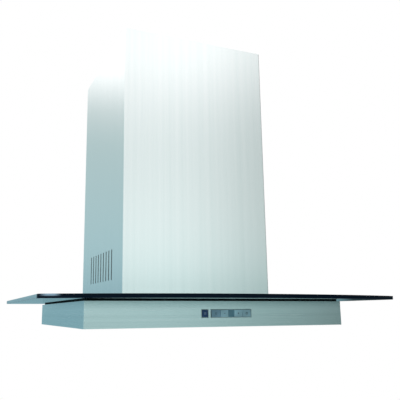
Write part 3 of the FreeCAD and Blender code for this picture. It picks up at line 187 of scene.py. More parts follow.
# How light the room is, by the sine of the height above the horizon plus HORIZON: in front of the
# hood and behind it. RIGHT_SHADE dims the room by how far to the right it lies.
HORIZON = 0.25
FRONT_LIGHT = [
    (0.00, (0.34, 0.35, 0.34)), (0.22, (0.34, 0.50, 0.51)), (0.255, (0.52, 0.82, 0.79)),
    (0.325, (1.05, 1.20, 1.20)), (0.40, (1.01, 1.09, 1.08)), (0.56, (0.83, 0.905, 0.90)),
    (0.62, (0.86, 0.92, 0.92)), (0.655, (1.03, 1.06, 1.06)), (0.69, (1.45, 1.45, 1.45)),
    (0.76, (1.50, 1.50, 1.50)), (0.81, (1.00, 1.03, 1.03)), (0.86, (0.80, 0.84, 0.85)),
    (1.00, (1.00, 1.03, 1.03)),
]
BACK_LIGHT = [
    (0.00, (0.45, 0.60, 0.64)), (0.23, (0.24, 0.43, 0.49)), (0.27, (0.31, 0.50, 0.56)),
    (0.36, (0.43, 0.63, 0.67)), (0.56, (0.50, 0.64, 0.65)), (0.62, (0.68, 0.77, 0.77)),
    (0.69, (1.45, 1.45, 1.45)), (0.76, (1.50, 1.50, 1.50)), (0.81, (0.90, 0.94, 0.95)),
    (0.86, (0.72, 0.78, 0.79)), (1.00, (1.00, 1.03, 1.03)),
]
RIGHT_SHADE = [
    (0.10, (0.94, 0.94, 0.94)), (0.26, (0.86, 0.86, 0.86)), (0.30, (1.0, 1.0, 1.0)),
    (0.38, (1.0, 1.0, 1.0)), (0.42, (0.95, 0.95, 0.95)), (0.53, (0.53, 0.57, 0.565)),
    (0.61, (0.585, 0.60, 0.60)), (0.635, (0.52, 0.54, 0.54)), (0.652, (0.12, 0.12, 0.12)),
    (0.72, (0.07, 0.07, 0.07)), (1.0, (0.45, 0.45, 0.45)),
]
FRONT_TO_BACK = 0.3
WHITE = (1.0, 1.0, 1.0, 1.0)


def studio_world():
    """Pale room: white to the eye, and for reflections grey-teal at eye level, white higher up."""
    world = bpy.data.worlds.new("studio_world")
    bpy.context.scene.world = world
    world.use_nodes = True
    tree = world.node_tree
    place = add(tree, "ShaderNodeTexCoord")
    split = add(tree, "ShaderNodeSeparateXYZ")
    tree.links.new(place.outputs["Generated"], split.inputs[0])
    rise = remap(tree, split.outputs["Z"], From_Min=-HORIZON, From_Max=1.0 - HORIZON)
    turn = remap(tree, split.outputs["Y"], From_Min=-FRONT_TO_BACK, From_Max=FRONT_TO_BACK)
    around = mix_colours(tree, turn, ramp(tree, rise, FRONT_LIGHT), ramp(tree, rise, BACK_LIGHT))
    shade = ramp(tree, split.outputs["X"], RIGHT_SHADE)
    shaded = mix_colours(tree, 1.0, around, shade, blend_type="MULTIPLY")
    seen = add(tree, "ShaderNodeLightPath").outputs["Is Camera Ray"]
    background = tree.nodes["Background"]
    tree.links.new(mix_colours(tree, seen, shaded, WHITE), background.inputs["Color"])
    background.inputs["Strength"].default_value = 1.0


studio_world()


# ---------------------------------------------------------------- brushed steel covers
# The lower and upper chimney covers: stainless sheet, brushed along its height and folded to a
# channel. The lower one stands on the glass; the upper one slides up inside it. Black gauze is
# held behind the lower one's air slots; its near-black is painted shade for the slots.


def new_group(name, inputs, outputs):
    """An empty shader group with float, colour or vector sockets, and its two end nodes."""
    group = bpy.data.node_groups.new(name, "ShaderNodeTree")
    for socket, kind, value in inputs:
        made = group.interface.new_socket(socket, in_out="INPUT", socket_type="NodeSocket" + kind)
        made.default_value = value
    for socket, kind in outputs:
        group.interface.new_socket(socket, in_out="OUTPUT", socket_type="NodeSocket" + kind)
    return group, group.nodes.new("NodeGroupInput"), group.nodes.new("NodeGroupOutput")


def use_group(tree, group, **values):
    """Place a group in a material and set its inputs."""
    node = tree.nodes.new("ShaderNodeGroup")
    node.node_tree = group
    for name, value in values.items():
        node.inputs[name.replace("_", " ")].default_value = value
    return node


def surface_place(tree):
    """The place on the piece in metres, which stays with the piece as it moves."""
    return add(tree, "ShaderNodeTexCoord").outputs["Object"]


def stretched(tree, place, scale):
    """A place multiplied along each axis, which draws a texture out along the smaller ones."""
    node = add(tree, "ShaderNodeVectorMath", operation="MULTIPLY")
    tree.links.new(place, node.inputs[0])
    feed(tree, node.inputs[1], scale)
    return node.outputs["Vector"]


def noise(tree, place, **values):
    """A cloud noise at that place, about 0.3 to 0.7."""
    node = add(tree, "ShaderNodeTexNoise", **values)
    tree.links.new(place, node.inputs["Vector"])
    return node.outputs["Fac"]


def calculate(tree, operation, *given):
    """One step of arithmetic on values or sockets."""
    node = add(tree, "ShaderNodeMath", operation=operation)
    for socket, value in zip(node.inputs, given):
        feed(tree, socket, value)
    return node.outputs["Value"]


BAND_SCALE = 0.06    # makes the bands about 17 times as broad as the streaks
BAND_SHARE = 0.55
STREAK_SHARE = 0.45


def make_brush_grain():
    """Brush lines: long fine streaks, with broader soft bands between them."""
    grey = (0.5, 0.5, 0.5, 1.0)
    group, start, end = new_group(
        "brush_grain",
        [("Stretch", "Vector", (1500.0, 1500.0, 8.0)), ("Dark", "Color", grey),
         ("Light", "Color", grey), ("Smooth", "Float", 0.2), ("Rough", "Float", 0.35)],
        [("Color", "Color"), ("Roughness", "Float"), ("Height", "Float")],
    )
    streak = stretched(group, surface_place(group), start.outputs["Stretch"])
    fine = noise(group, streak, Scale=1.0, Detail=3.0, Roughness=0.6)
    wide = stretched(group, streak, (BAND_SCALE, BAND_SCALE, BAND_SCALE))
    bands = noise(group, wide, Scale=1.0, Detail=2.0)
    streaks = calculate(group, "MULTIPLY", fine, STREAK_SHARE)
    both = calculate(group, "MULTIPLY_ADD", bands, BAND_SHARE, streaks)
    spread = remap(group, both, From_Min=0.35, From_Max=0.65)
    colour = mix_colours(group, spread, start.outputs["Dark"], start.outputs["Light"])
    rough = add(group, "ShaderNodeMix", data_type="FLOAT")
    group.links.new(fine, rough.inputs["Factor"])
    group.links.new(start.outputs["Smooth"], rough.inputs["A"])
    group.links.new(start.outputs["Rough"], rough.inputs["B"])
    group.links.new(colour, end.inputs["Color"])
    group.links.new(rough.outputs["Result"], end.inputs["Roughness"])
    group.links.new(fine, end.inputs["Height"])
    return group


brush_grain = make_brush_grain()

FLAT_BEND, SHARP_BEND = 0.99, 0.75    # cosine between the rounded and the true normal


def make_edge_wear():
    """Worn edges: white where the surface bends sharply, broken up by a fine noise."""
    group, start, end = new_group(
        "edge_wear", [("Width", "Float", 0.0008), ("Amount", "Float", 1.0)], [("Mask", "Float")]
    )
    rounded = add(group, "ShaderNodeBevel", samples=4)
    group.links.new(start.outputs["Width"], rounded.inputs["Radius"])
    flat = add(group, "ShaderNodeNewGeometry")
    same = add(group, "ShaderNodeVectorMath", operation="DOT_PRODUCT")
    group.links.new(rounded.outputs["Normal"], same.inputs[0])
    group.links.new(flat.outputs["Normal"], same.inputs[1])
    edge = remap(group, same.outputs["Value"], From_Min=FLAT_BEND, From_Max=SHARP_BEND)
    chips = noise(group, surface_place(group), Scale=900.0, Detail=3.0)
    broken = calculate(group, "MULTIPLY", edge, chips)
    worn = calculate(group, "MULTIPLY", broken, start.outputs["Amount"])
    group.links.new(worn, end.inputs["Mask"])
    return group


edge_wear = make_edge_wear()


def bump(tree, shader, height, distance, strength=1.0):
    """A bump from a height value into the shader's normal."""
    node = add(tree, "ShaderNodeBump", Distance=distance, Strength=strength)
    tree.links.new(height, node.inputs["Height"])
    tree.links.new(node.outputs["Normal"], shader.inputs["Normal"])


def finish(tree, shader, **given):
    """Feed the shader's sockets, each named with its words joined by underscores."""
    for name, value in given.items():
        feed(tree, shader.inputs[name.replace("_", " ")], value)


WORN_STEEL = (0.93, 0.95, 0.95, 1.0)
BRUSH_DEPTH = 0.00002


def brushed_steel(name, stretch, dark, light, roughness, wear=0.5):
    """Sheet with brush lines along the axis that stretch leaves short; roughness is a range."""
    material, tree, shader = new_material(name)
    grain = use_group(tree, brush_grain, Stretch=stretch, Dark=(*dark, 1.0), Light=(*light, 1.0),
                      Smooth=roughness[0], Rough=roughness[1])
    edge = use_group(tree, edge_wear, Width=0.0006, Amount=wear)
    colour = mix_colours(tree, edge.outputs["Mask"], grain.outputs["Color"], WORN_STEEL)
    finish(tree, shader, Base_Color=colour, Roughness=grain.outputs["Roughness"], Metallic=1.0)
    bump(tree, shader, grain.outputs["Height"], BRUSH_DEPTH, 0.35)
    return material


def dress(name, material):
    """Give a node of the frame its material, in every slot that it has."""
    if len(nodes[name].data.materials) == 0:
        nodes[name].data.materials.append(material)
    for place in nodes[name].material_slots:
        place.material = material


UPRIGHT_BRUSH = (1400.0, 1400.0, 5.0)
LEVEL_BRUSH = (5.0, 5.0, 1400.0)

cover_steel = brushed_steel("cover_steel", UPRIGHT_BRUSH, dark=(0.84, 0.88, 0.88),
                            light=(0.90, 0.92, 0.92), roughness=(0.20, 0.26), wear=0.15)
dress("lower_cover", cover_steel)
dress("upper_cover", cover_steel)

GAUZE_X = (0.14055, 0.14085)
GAUZE_Y = (-0.232, -0.058)
GAUZE_Z = (0.070, 0.146)
GAUZE_PITCH = 0.004
GAUZE_PLEAT = 0.00006


def finished_mesh(edit, name):
    """The edited faces as a mesh, with their normals outwards."""
    bmesh.ops.recalc_face_normals(edit, faces=edit.faces)
    mesh = bpy.data.meshes.new(name)
    edit.to_mesh(mesh)
    edit.free()
    return mesh


def make_gauze(side):
    """Black gauze pressed into shallow pleats, held behind the air slots; its near-black is painted
    shade.
    """
    edit = bmesh.new()
    columns = int((GAUZE_Y[1] - GAUZE_Y[0]) / GAUZE_PITCH)
    rows = []
    for face_x in GAUZE_X:
        for z in GAUZE_Z:
            line = []
            for index in range(columns + 1):
                y = GAUZE_Y[0] + (GAUZE_Y[1] - GAUZE_Y[0]) * index / columns
                pleat = GAUZE_PLEAT if index % 2 else -GAUZE_PLEAT
                line.append(edit.verts.new((side * (face_x + pleat), y, z)))
            rows.append(line)
    inner_low, inner_high, outer_low, outer_high = rows
    for index in range(columns):
        for first, second in ((inner_low, inner_high), (inner_high, outer_high),
                              (outer_high, outer_low), (outer_low, inner_low)):
            edit.faces.new((first[index], first[index + 1], second[index + 1], second[index]))
    for index in (0, columns):
        edit.faces.new((inner_low[index], inner_high[index], outer_high[index], outer_low[index]))
    return finished_mesh(edit, "slot_shade_gauze")


def gauze_weave():
    """Fine black weave, its threads crossing at right angles; near-black as painted shade for the
    slots.
    """
    material, tree, shader = new_material("slot_shade_gauze")
    place = surface_place(tree)
    threads = []
    for direction in ("Y", "Z"):
        wave = add(tree, "ShaderNodeTexWave", Scale=260.0, bands_direction=direction)
        tree.links.new(place, wave.inputs["Vector"])
        threads.append(wave.outputs["Fac"])
    weave = calculate(tree, "MAXIMUM", *threads)
    # The near-black tone is painted shade for the slots in front of it.
    tone = ramp(tree, weave, [(0.2, (0.0005, 0.002, 0.003)), (0.9, (0.003, 0.007, 0.009))])
    finish(tree, shader, Base_Color=tone, Roughness=0.9)
    bump(tree, shader, weave, 0.00005)
    return material


shade_gauze = gauze_weave()
for side, name in ((-1, "left"), (1, "right")):
    gauze = new_object("slot_shade_gauze_" + name, make_gauze(side), shade_gauze)
    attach(gauze, "hood")


# ---------------------------------------------------------------- casing
# The thin body under the glass: stainless sheet brushed along its width, folded at the corners.
# Its lower lip carries the bottom panel, and its front has the window for the keys.

casing_steel = brushed_steel("casing_steel", LEVEL_BRUSH, dark=(0.64, 0.75, 0.76),
                             light=(0.78, 0.89, 0.90), roughness=(0.18, 0.32), wear=0.0)
panel_steel = brushed_steel("panel_steel", LEVEL_BRUSH, dark=(0.44, 0.47, 0.48),
                            light=(0.62, 0.66, 0.67), roughness=(0.22, 0.36), wear=0.2)
dress("body_casing", casing_steel)
dress("bottom_panel", panel_steel)


# ---------------------------------------------------------------- glass canopy
# A flat tempered plate, 6 mm thick. Its bowed front edge is ground and polished; its straight
# sides are left satin. It lies on a rubber frame and is clamped by four screws round the throat.

GLASS_BOW = 0.055
GLASS_CORNER = 0.010
GLASS_ROUNDING = 0.0005
THROAT_X, THROAT_Y = (-0.116, 0.116), (-0.240, -0.024)
GLASS_SCREWS = [(x, y) for x in (-0.1285, 0.1285) for y in (-0.050, -0.215)]
GLASS_SCREW_HOLE = 0.003
SIDE_STEPS = 40
CORNER_STEPS = 8
BOW_STEP = 0.004
RIM_STEPS = 4
HOLE_SEGMENTS = 20
CLEAR, FRONT_EDGE, SIDE_EDGE = 0, 1, 2    # the plate's three materials


def canopy_outline(low, high):
    """Points round the plate: straight sides, bowed front, small rounded front corners."""
    half = high[0]
    corner_y, front = low[1] + GLASS_BOW, low[1]
    bow_radius = (half ** 2 + GLASS_BOW ** 2) / (2 * GLASS_BOW)
    centre = (0.0, front + bow_radius)
    inner = bow_radius - GLASS_CORNER
    fillet_x = half - GLASS_CORNER
    fillet_y = centre[1] - math.sqrt(inner ** 2 - fillet_x ** 2)
    meet = math.asin(fillet_x / inner)
    right = [(half, corner_y + (high[1] - corner_y) * index / SIDE_STEPS)
             for index in range(SIDE_STEPS, -1, -1)]
    right = [point for point in right if point[1] > fillet_y]
    for index in range(CORNER_STEPS + 1):
        turn = (math.pi / 2 - meet) * index / CORNER_STEPS
        right.append((fillet_x + GLASS_CORNER * math.cos(turn),
                      fillet_y - GLASS_CORNER * math.sin(turn)))
    count = int(bow_radius * meet / BOW_STEP)
    for index in range(1, count):
        turn = meet * (1 - index / count)
        right.append((bow_radius * math.sin(turn), centre[1] - bow_radius * math.cos(turn)))
    return right + [(0.0, front)] + [(-x, y) for x, y in reversed(right)]


def circle_points(x, y, radius, count):
    """Points round a circle."""
    return [(x + radius * math.cos(math.tau * index / count),
             y + radius * math.sin(math.tau * index / count)) for index in range(count)]


def closed_ring(edit, points, z):
    """A ring of vertices and its edges at one height."""
    ring = [edit.verts.new((x, y, z)) for x, y in points]
    return ring, [edit.edges.new(pair) for pair in zip(ring, ring[1:] + ring[:1])]


def inset_points(points, distance):
    """The same ring moved inwards, square to its own line; points run clockwise seen from above."""
    moved = []
    for before, here, after in zip(points[-1:] + points[:-1], points, points[1:] + points[:1]):
        first = Vector((here[0] - before[0], here[1] - before[1])).normalized()
        second = Vector((after[0] - here[0], after[1] - here[1])).normalized()
        inward = Vector((first.y + second.y, -first.x - second.x)).normalized()
        reach = distance / max(0.5, inward.dot(Vector((first.y, -first.x))))
        moved.append((here[0] + inward.x * reach, here[1] + inward.y * reach))
    return moved


def skin(edit, rings, material_index=0, smooth=True):
    """Quads between rings of equal length."""
    for low_ring, high_ring in zip(rings, rings[1:]):
        for index in range(len(low_ring)):
            other = (index + 1) % len(low_ring)
            face = edit.faces.new((low_ring[index], low_ring[other],
                                   high_ring[other], high_ring[index]))
            face.material_index = material_index
            face.smooth = smooth


def make_canopy():
    """The plate with a pencil-rounded rim, the throat and the four clamp holes."""
    low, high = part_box("glass_canopy")
    rim = canopy_outline(low, high)
    throat = [(THROAT_X[0], THROAT_Y[0]), (THROAT_X[1], THROAT_Y[0]),
              (THROAT_X[1], THROAT_Y[1]), (THROAT_X[0], THROAT_Y[1])]
    circles = [circle_points(x, y, GLASS_SCREW_HOLE, HOLE_SEGMENTS) for x, y in GLASS_SCREWS]
    edit = bmesh.new()
    profile = []
    for index in range(RIM_STEPS + 1):
        turn = math.pi / 2 * index / RIM_STEPS
        profile.append((GLASS_ROUNDING * (1 - math.sin(turn)),
                        low[2] + GLASS_ROUNDING * (1 - math.cos(turn))))
    profile += [(inset, low[2] + high[2] - z) for inset, z in reversed(profile)]
    rings, ring_edges = [], []
    for inset, z in profile:
        ring, edges = closed_ring(edit, inset_points(rim, inset), z)
        rings.append(ring)
        ring_edges.append(edges)
    skin(edit, rings, FRONT_EDGE)
    caps = [list(ring_edges[0]), list(ring_edges[-1])]
    for hole in [throat] + circles:
        bottom, bottom_edges = closed_ring(edit, hole, low[2])
        top, top_edges = closed_ring(edit, hole, high[2])
        skin(edit, [bottom, top], FRONT_EDGE, smooth=hole is not throat)
        caps[0] += bottom_edges
        caps[1] += top_edges
    for edges in caps:
        filled = bmesh.ops.triangle_fill(edit, use_beauty=True, edges=edges)
        for piece in filled["geom"]:
            if isinstance(piece, bmesh.types.BMFace):
                piece.material_index = CLEAR
    behind_bow = low[1] + GLASS_BOW + GLASS_CORNER
    for face in edit.faces:
        if face.material_index == FRONT_EDGE and face.calc_center_median().y > behind_bow:
            face.material_index = SIDE_EDGE
    return finished_mesh(edit, "glass_plate")


def canopy_glass():
    """Grey-teal float glass."""
    material, tree, shader = new_material("canopy_glass")
    cloud = noise(tree, surface_place(tree), Scale=6.0, Detail=2.0)
    tint = ramp(tree, cloud, [(0.35, (0.050, 0.090, 0.112)), (0.65, (0.062, 0.106, 0.130))])
    finish(tree, shader, Base_Color=tint, Transmission_Weight=1.0, Roughness=0.02, IOR=1.5)
    return material


GRINDING_MARKS = (20.0, 20.0, 1500.0)
# The painted glint near the left corner: its middle and reach along X, its height band, its colour.
GLINT_X, GLINT_REACH, GLINT_FULL = -0.285, 0.015, 0.003
GLINT_FROM, GLINT_TO = 0.0442, 0.0462
GLINT_COLOUR = (0.20, 0.29, 0.37, 1.0)
# The painted reflection on the edge's upper half: its height band and its colour.
REFLECTION_FROM, REFLECTION_TO = 0.0440, 0.0456
REFLECTION_COLOUR = (0.002, 0.005, 0.010, 1.0)


def canopy_edge():
    """The plate's polished front edge: the eye looks into the whole depth of the dark glass.

    Its upper half is a little greyer: a painted reflection. A pale patch near the left corner
    is a painted glint.
    """
    material, tree, shader = new_material("canopy_edge")
    place = surface_place(tree)
    ground = noise(tree, stretched(tree, place, GRINDING_MARKS), Scale=1.0, Detail=3.0)
    tone = ramp(tree, ground, [(0.3, (0.001, 0.003, 0.008)), (0.7, (0.003, 0.008, 0.018))])
    split = add(tree, "ShaderNodeSeparateXYZ")
    tree.links.new(place, split.inputs[0])
    # A pale patch on the upper half near the left corner: a painted glint.
    away = calculate(tree, "ABSOLUTE", calculate(tree, "ADD", split.outputs["X"], -GLINT_X))
    near_corner = remap(tree, away, interpolation_type="SMOOTHSTEP", From_Min=GLINT_REACH,
                        From_Max=GLINT_FULL)
    upper = remap(tree, split.outputs["Z"], interpolation_type="SMOOTHSTEP",
                  From_Min=GLINT_FROM, From_Max=GLINT_TO)
    patch = calculate(tree, "MULTIPLY", near_corner, upper)
    # The upper half takes a colour of its own: a painted reflection.
    depth = remap(tree, split.outputs["Z"], interpolation_type="SMOOTHSTEP",
                  From_Min=REFLECTION_FROM, From_Max=REFLECTION_TO)
    tone_and_reflection = mix_colours(tree, depth, tone, REFLECTION_COLOUR)
    colour = mix_colours(tree, patch, tone_and_reflection, GLINT_COLOUR)
    shine = remap(tree, ground, To_Min=0.05, To_Max=0.16)
    finish(tree, shader, Base_Color=colour, Roughness=shine, IOR=1.10)
    return material


def canopy_sides():
    """The straight edges: seamed and left satin, so they scatter the room's light."""
    material, tree, shader = new_material("canopy_sides")
    ground = noise(tree, surface_place(tree), Scale=700.0, Detail=3.0)
    tone = ramp(tree, ground, [(0.3, (0.15, 0.25, 0.29)), (0.7, (0.20, 0.31, 0.35))])
    finish(tree, shader, Base_Color=tone,
           Roughness=remap(tree, ground, To_Min=0.30, To_Max=0.45))
    bump(tree, shader, ground, 0.00003)
    return material


glass_plate = new_object("glass_plate", make_canopy(), canopy_glass(), canopy_edge(),
                         canopy_sides())
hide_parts("glass_canopy")
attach(glass_plate, "hood")


def gasket_profile():
    """Black extruded rubber with a matt, faintly pitted skin."""
    material, tree, shader = new_material("gasket_rubber")
    pits = noise(tree, surface_place(tree), Scale=2500.0, Detail=2.0)
    tone = ramp(tree, pits, [(0.3, (0.002, 0.009, 0.011)), (0.7, (0.004, 0.014, 0.016))])
    finish(tree, shader, Base_Color=tone, Roughness=remap(tree, pits, To_Min=0.65, To_Max=0.85),
           Specular_IOR_Level=0.2)
    bump(tree, shader, pits, 0.00004, 0.3)
    return material


dress("canopy_gasket", gasket_profile())


# ---------------------------------------------------------------- controls
# A dark power key and a strip of satin keys round a smoked display window, level with each other.
# They run in a moulded bezel behind the casing's front, in front of the circuit board. Each key
# has a plain raised symbol.


def dimmed(colour, share):
    """The same colour with that share of its light."""
    return tuple(channel * share for channel in colour)


def moulded(name, colour, roughness, spread=0.15):
    """Moulded plastic: a fine sparked texture, a slight colour change and rubbed edges."""
    material, tree, shader = new_material(name)
    place = surface_place(tree)
    spark = noise(tree, place, Scale=1800.0, Detail=2.0)
    patch = noise(tree, place, Scale=30.0, Detail=2.0)
    low = dimmed(colour, 1.0 - spread)
    high = tuple(min(1.0, channel * (1.0 + spread)) for channel in colour)
    tone = ramp(tree, patch, [(0.35, low), (0.65, high)])
    rubbed = (*(min(1.0, channel * 1.5 + 0.06) for channel in colour), 1.0)
    edge = use_group(tree, edge_wear, Width=0.0004, Amount=0.35)
    shine = remap(tree, spark, To_Min=roughness * 0.8, To_Max=min(1.0, roughness * 1.2))
    finish(tree, shader, Base_Color=mix_colours(tree, edge.outputs["Mask"], tone, rubbed),
           Roughness=shine)
    bump(tree, shader, spark, 0.00003)
    return material


black_plastic = moulded("black_plastic", (0.030, 0.032, 0.035), 0.5)
grey_plastic = moulded("grey_plastic", (0.42, 0.44, 0.45), 0.45)
navy_plastic = moulded("navy_plastic", (0.005, 0.060, 0.20), 0.25)
bezel_plastic = moulded("bezel_plastic", (0.27, 0.40, 0.41), 0.35)
key_plastic = moulded("key_plastic", (0.26, 0.47, 0.60), 0.35)
pale_key_plastic = moulded("pale_key_plastic", (0.41, 0.68, 0.78), 0.35)
display_plastic = moulded("display_plastic", (0.115, 0.26, 0.34), 0.15)
dress("control_bezel", bezel_plastic)
dress("power_key", navy_plastic)
dress("light_key", key_plastic)
for name in ("minus_key", "plus_key", "timer_key"):
    dress(name, pale_key_plastic)
dress("display_window", display_plastic)
dress("control_housing", black_plastic)
dress("key_switches", black_plastic)
dress("control_board", moulded("board_lacquer", (0.02, 0.16, 0.06), 0.3))

SYMBOL_FACE = -0.3938
SYMBOL_RISE = 0.00015
SYMBOL_LINE = 0.0005
SYMBOL_CENTRE_Z = 0.0207
ARC_STEPS = 16
MM_PER_METRE = 1000


def raised(edit, points):
    """A flat raised stroke with the given outline in X and Z, on the keys' front plane."""
    front = [edit.verts.new((x, SYMBOL_FACE - SYMBOL_RISE, z)) for x, z in points]
    back = [edit.verts.new((x, SYMBOL_FACE, z)) for x, z in points]
    edit.faces.new(front)
    edit.faces.new(list(reversed(back)))
    for index in range(len(points)):
        other = (index + 1) % len(points)
        edit.faces.new((front[index], back[index], back[other], front[other]))


def stroke(edit, centre, first, last):
    """A straight stroke between two points given from the symbol's centre, in millimetres."""
    start, end = (Vector((centre[0] + x / MM_PER_METRE, centre[1] + z / MM_PER_METRE))
                  for x, z in (first, last))
    along = (end - start).normalized() * SYMBOL_LINE / 2
    across = Vector((-along.y, along.x))
    raised(edit, [start - along - across, end + along - across, end + along + across,
                  start - along + across])


def arc(edit, centre, radius, first, last):
    """A curved stroke of that radius in millimetres between two angles in degrees."""
    middle = radius / MM_PER_METRE
    inner, outer = middle - SYMBOL_LINE / 2, middle + SYMBOL_LINE / 2
    for index in range(ARC_STEPS):
        low = math.radians(first + (last - first) * index / ARC_STEPS)
        high = math.radians(first + (last - first) * (index + 1) / ARC_STEPS)
        raised(edit, [
            (centre[0] + reach * math.cos(turn), centre[1] + reach * math.sin(turn))
            for reach, turn in ((inner, low), (outer, low), (outer, high), (inner, high))
        ])


# Each symbol's middle along X in metres, its straight strokes as pairs of ends, and its arcs as
# radius and two angles. Strokes and arcs are in millimetres and degrees from the middle.
SYMBOLS = {
    "power_key": (-0.0355, [((0, 0.3), (0, 1.9))], [(1.4, 115, 425)]),
    "light_key": (-0.01625, [((-0.5, -2.0), (0.5, -2.0))], [(1.3, -60, 240)]),
    "minus_key": (-0.0012, [((-1.3, 0), (1.3, 0))], []),
    "plus_key": (0.0238, [((-1.3, 0), (1.3, 0)), ((0, -1.3), (0, 1.3))], []),
    "timer_key": (0.0390, [((0, 0), (0, 1.0)), ((0, 0), (0.7, 0))], [(1.7, 0, 360)]),
}
pale_print = moulded("pale_print", (0.30, 0.44, 0.56), 0.4)
dark_print = moulded("dark_print", (0.045, 0.10, 0.14), 0.4)
for key, (centre_x, strokes, arcs) in SYMBOLS.items():
    edit = bmesh.new()
    centre = (centre_x, SYMBOL_CENTRE_Z)
    for first, last in strokes:
        stroke(edit, centre, first, last)
    for radius, first, last in arcs:
        arc(edit, centre, radius, first, last)
    ink = pale_print if key == "power_key" else dark_print
    symbol = new_object(key + "_symbol", finished_mesh(edit, key + "_symbol"), ink)
    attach(symbol, key)


# ---------------------------------------------------------------- blower and air outlet
# A painted motor box on the wall holds a galvanised scroll with a moulded fan wheel on the shaft
# of a capacitor motor. A moulded collar with two flaps on top takes the duct.


def zinc_sheet(name, colour):
    """Galvanised sheet with pale flaky crystals."""
    material, tree, shader = new_material(name)
    flakes = add(tree, "ShaderNodeTexVoronoi", Scale=240.0)
    tree.links.new(surface_place(tree), flakes.inputs["Vector"])
    tone = ramp(tree, flakes.outputs["Color"], [(0.0, dimmed(colour, 0.82)), (1.0, colour)])
    shine = remap(tree, flakes.outputs["Distance"], To_Min=0.32, To_Max=0.5)
    finish(tree, shader, Base_Color=tone, Roughness=shine, Metallic=1.0)
    return material


def powder_coat(name, colour):
    """Baked powder paint with a faint orange-peel skin and edges rubbed to the metal."""
    material, tree, shader = new_material(name)
    peel = noise(tree, surface_place(tree), Scale=700.0, Detail=1.0)
    edge = use_group(tree, edge_wear, Width=0.0008, Amount=0.5)
    tone = ramp(tree, peel, [(0.3, dimmed(colour, 0.93)), (0.7, colour)])
    bare_metal = (0.75, 0.76, 0.76, 1.0)
    finish(tree, shader, Base_Color=mix_colours(tree, edge.outputs["Mask"], tone, bare_metal),
           Roughness=0.42)
    bump(tree, shader, peel, 0.00006)
    return material


def plated(name, colour, roughness):
    """Plated or ground steel with faint turning marks."""
    material, tree, shader = new_material(name)
    marks = noise(tree, surface_place(tree), Scale=1500.0, Detail=3.0)
    tone = ramp(tree, marks, [(0.3, dimmed(colour, 0.85)), (0.7, colour)])
    shine = remap(tree, marks, To_Min=roughness * 0.7, To_Max=roughness * 1.3)
    finish(tree, shader, Base_Color=tone, Roughness=shine, Metallic=1.0)
    return material


zinc = zinc_sheet("zinc_sheet", (0.72, 0.74, 0.75))
grey_paint = powder_coat("grey_paint", (0.40, 0.42, 0.43))
screw_zinc = plated("screw_zinc", (0.78, 0.79, 0.80), 0.25)
dress("motor_box", grey_paint)
dress("motor", powder_coat("motor_paint", (0.10, 0.11, 0.12)))
dress("motor_shaft", plated("shaft_steel", (0.70, 0.70, 0.70), 0.15))
for name in ("scroll_housing", "motor_mount", "inlet_guard", "ceiling_bracket", "outlet_ring",
             "scroll_frame"):
    dress(name, zinc)
for name in ("impeller", "flap_front", "flap_rear"):
    dress(name, grey_plastic)
for name in ("outlet_collar", "terminal_box", "cable_gland"):
    dress(name, black_plastic)
for name in ("bracket_screws", "glass_screws", "collar_screws", "panel_screws"):
    dress(name, screw_zinc)
dress("capacitor", moulded("capacitor_white", (0.80, 0.80, 0.77), 0.3))


# ---------------------------------------------------------------- grease filters
# Two pressed aluminium frames that swing down on pins at the rear, each round a pack of expanded
# mesh, with a sliding latch in the front rim.

filter_aluminium = brushed_steel("filter_aluminium", LEVEL_BRUSH, dark=(0.74, 0.75, 0.77),
                                 light=(0.86, 0.87, 0.88), roughness=(0.3, 0.45))
mesh_aluminium = plated("mesh_aluminium", (0.72, 0.73, 0.74), 0.3)

STRAND_PITCH = (0.010, 0.0066)
STRAND_WIDTH = 0.0009
STRAND_THICKNESS = 0.0004
STRAND_SWING = 0.92
MESH_LAYERS = 3
MESH_MARGIN = 0.0006


def make_expanded_mesh(low, high):
    """Layers of slit and stretched sheet: zigzag strands that meet at every second corner."""
    edit = bmesh.new()
    columns = int((high[0] - low[0]) / STRAND_PITCH[0]) * 2
    rows = int((high[1] - low[1]) / STRAND_PITCH[1]) - 1
    step_x = (high[0] - low[0]) / columns
    step_y = (high[1] - low[1]) / (rows + 1)
    section = [(-STRAND_WIDTH / 2, 0.0), (STRAND_WIDTH / 2, 0.0),
               (STRAND_WIDTH / 2, STRAND_THICKNESS), (-STRAND_WIDTH / 2, STRAND_THICKNESS)]
    for layer in range(MESH_LAYERS):
        rise = (high[2] - low[2] - 2 * MESH_MARGIN) * layer / (MESH_LAYERS - 1)
        z = low[2] + MESH_MARGIN + rise
        for row in range(rows):
            y = low[1] + step_y * (row + 1)
            before = None
            for column in range(columns + 1):
                swing = step_y / 2 * (1 if (column + row) % 2 else -1)
                x = low[0] + step_x * column
                lift = STRAND_THICKNESS / 2 * (1 if (column + layer) % 2 else -1)
                here = [
                    edit.verts.new((x, y + swing * STRAND_SWING + side_y, z + lift + side_z))
                    for side_y, side_z in section
                ]
                if before is None:
                    edit.faces.new(here)
                else:
                    for index in range(4):
                        other = (index + 1) % 4
                        edit.faces.new((before[index], before[other], here[other], here[index]))
                before = here
            edit.faces.new(list(reversed(before)))
    return finished_mesh(edit, "expanded_mesh")


for side in ("left", "right"):
    dress("filter_" + side, filter_aluminium)
    low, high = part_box("filter_mesh_" + side)
    pack = new_object("expanded_mesh_" + side, make_expanded_mesh(low, high), mesh_aluminium)
    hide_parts("filter_mesh_" + side)
    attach(pack, "filter_" + side)
    dress("filter_latch_" + side, grey_plastic)


# ---------------------------------------------------------------- bottom panel screws
# Six plated low-head screws along the front and rear, driven up through the panel into the lip.
# Each head is turned with a soft rim and has a cross recess.

SCREW_FACE = 0.0026
SCREW_PROFILE = [(0.0030, 0.0002), (0.0032, 0.0006), (0.0032, 0.0012), (0.0020, 0.0012),
                 (0.0020, 0.0058), (0.0014, 0.0064)]
RECESS_LENGTH = 0.0016
RECESS_WIDTH = 0.00045    # half of an arm's width
RECESS_DEPTH = 0.0008
SCREW_SEGMENTS = 24


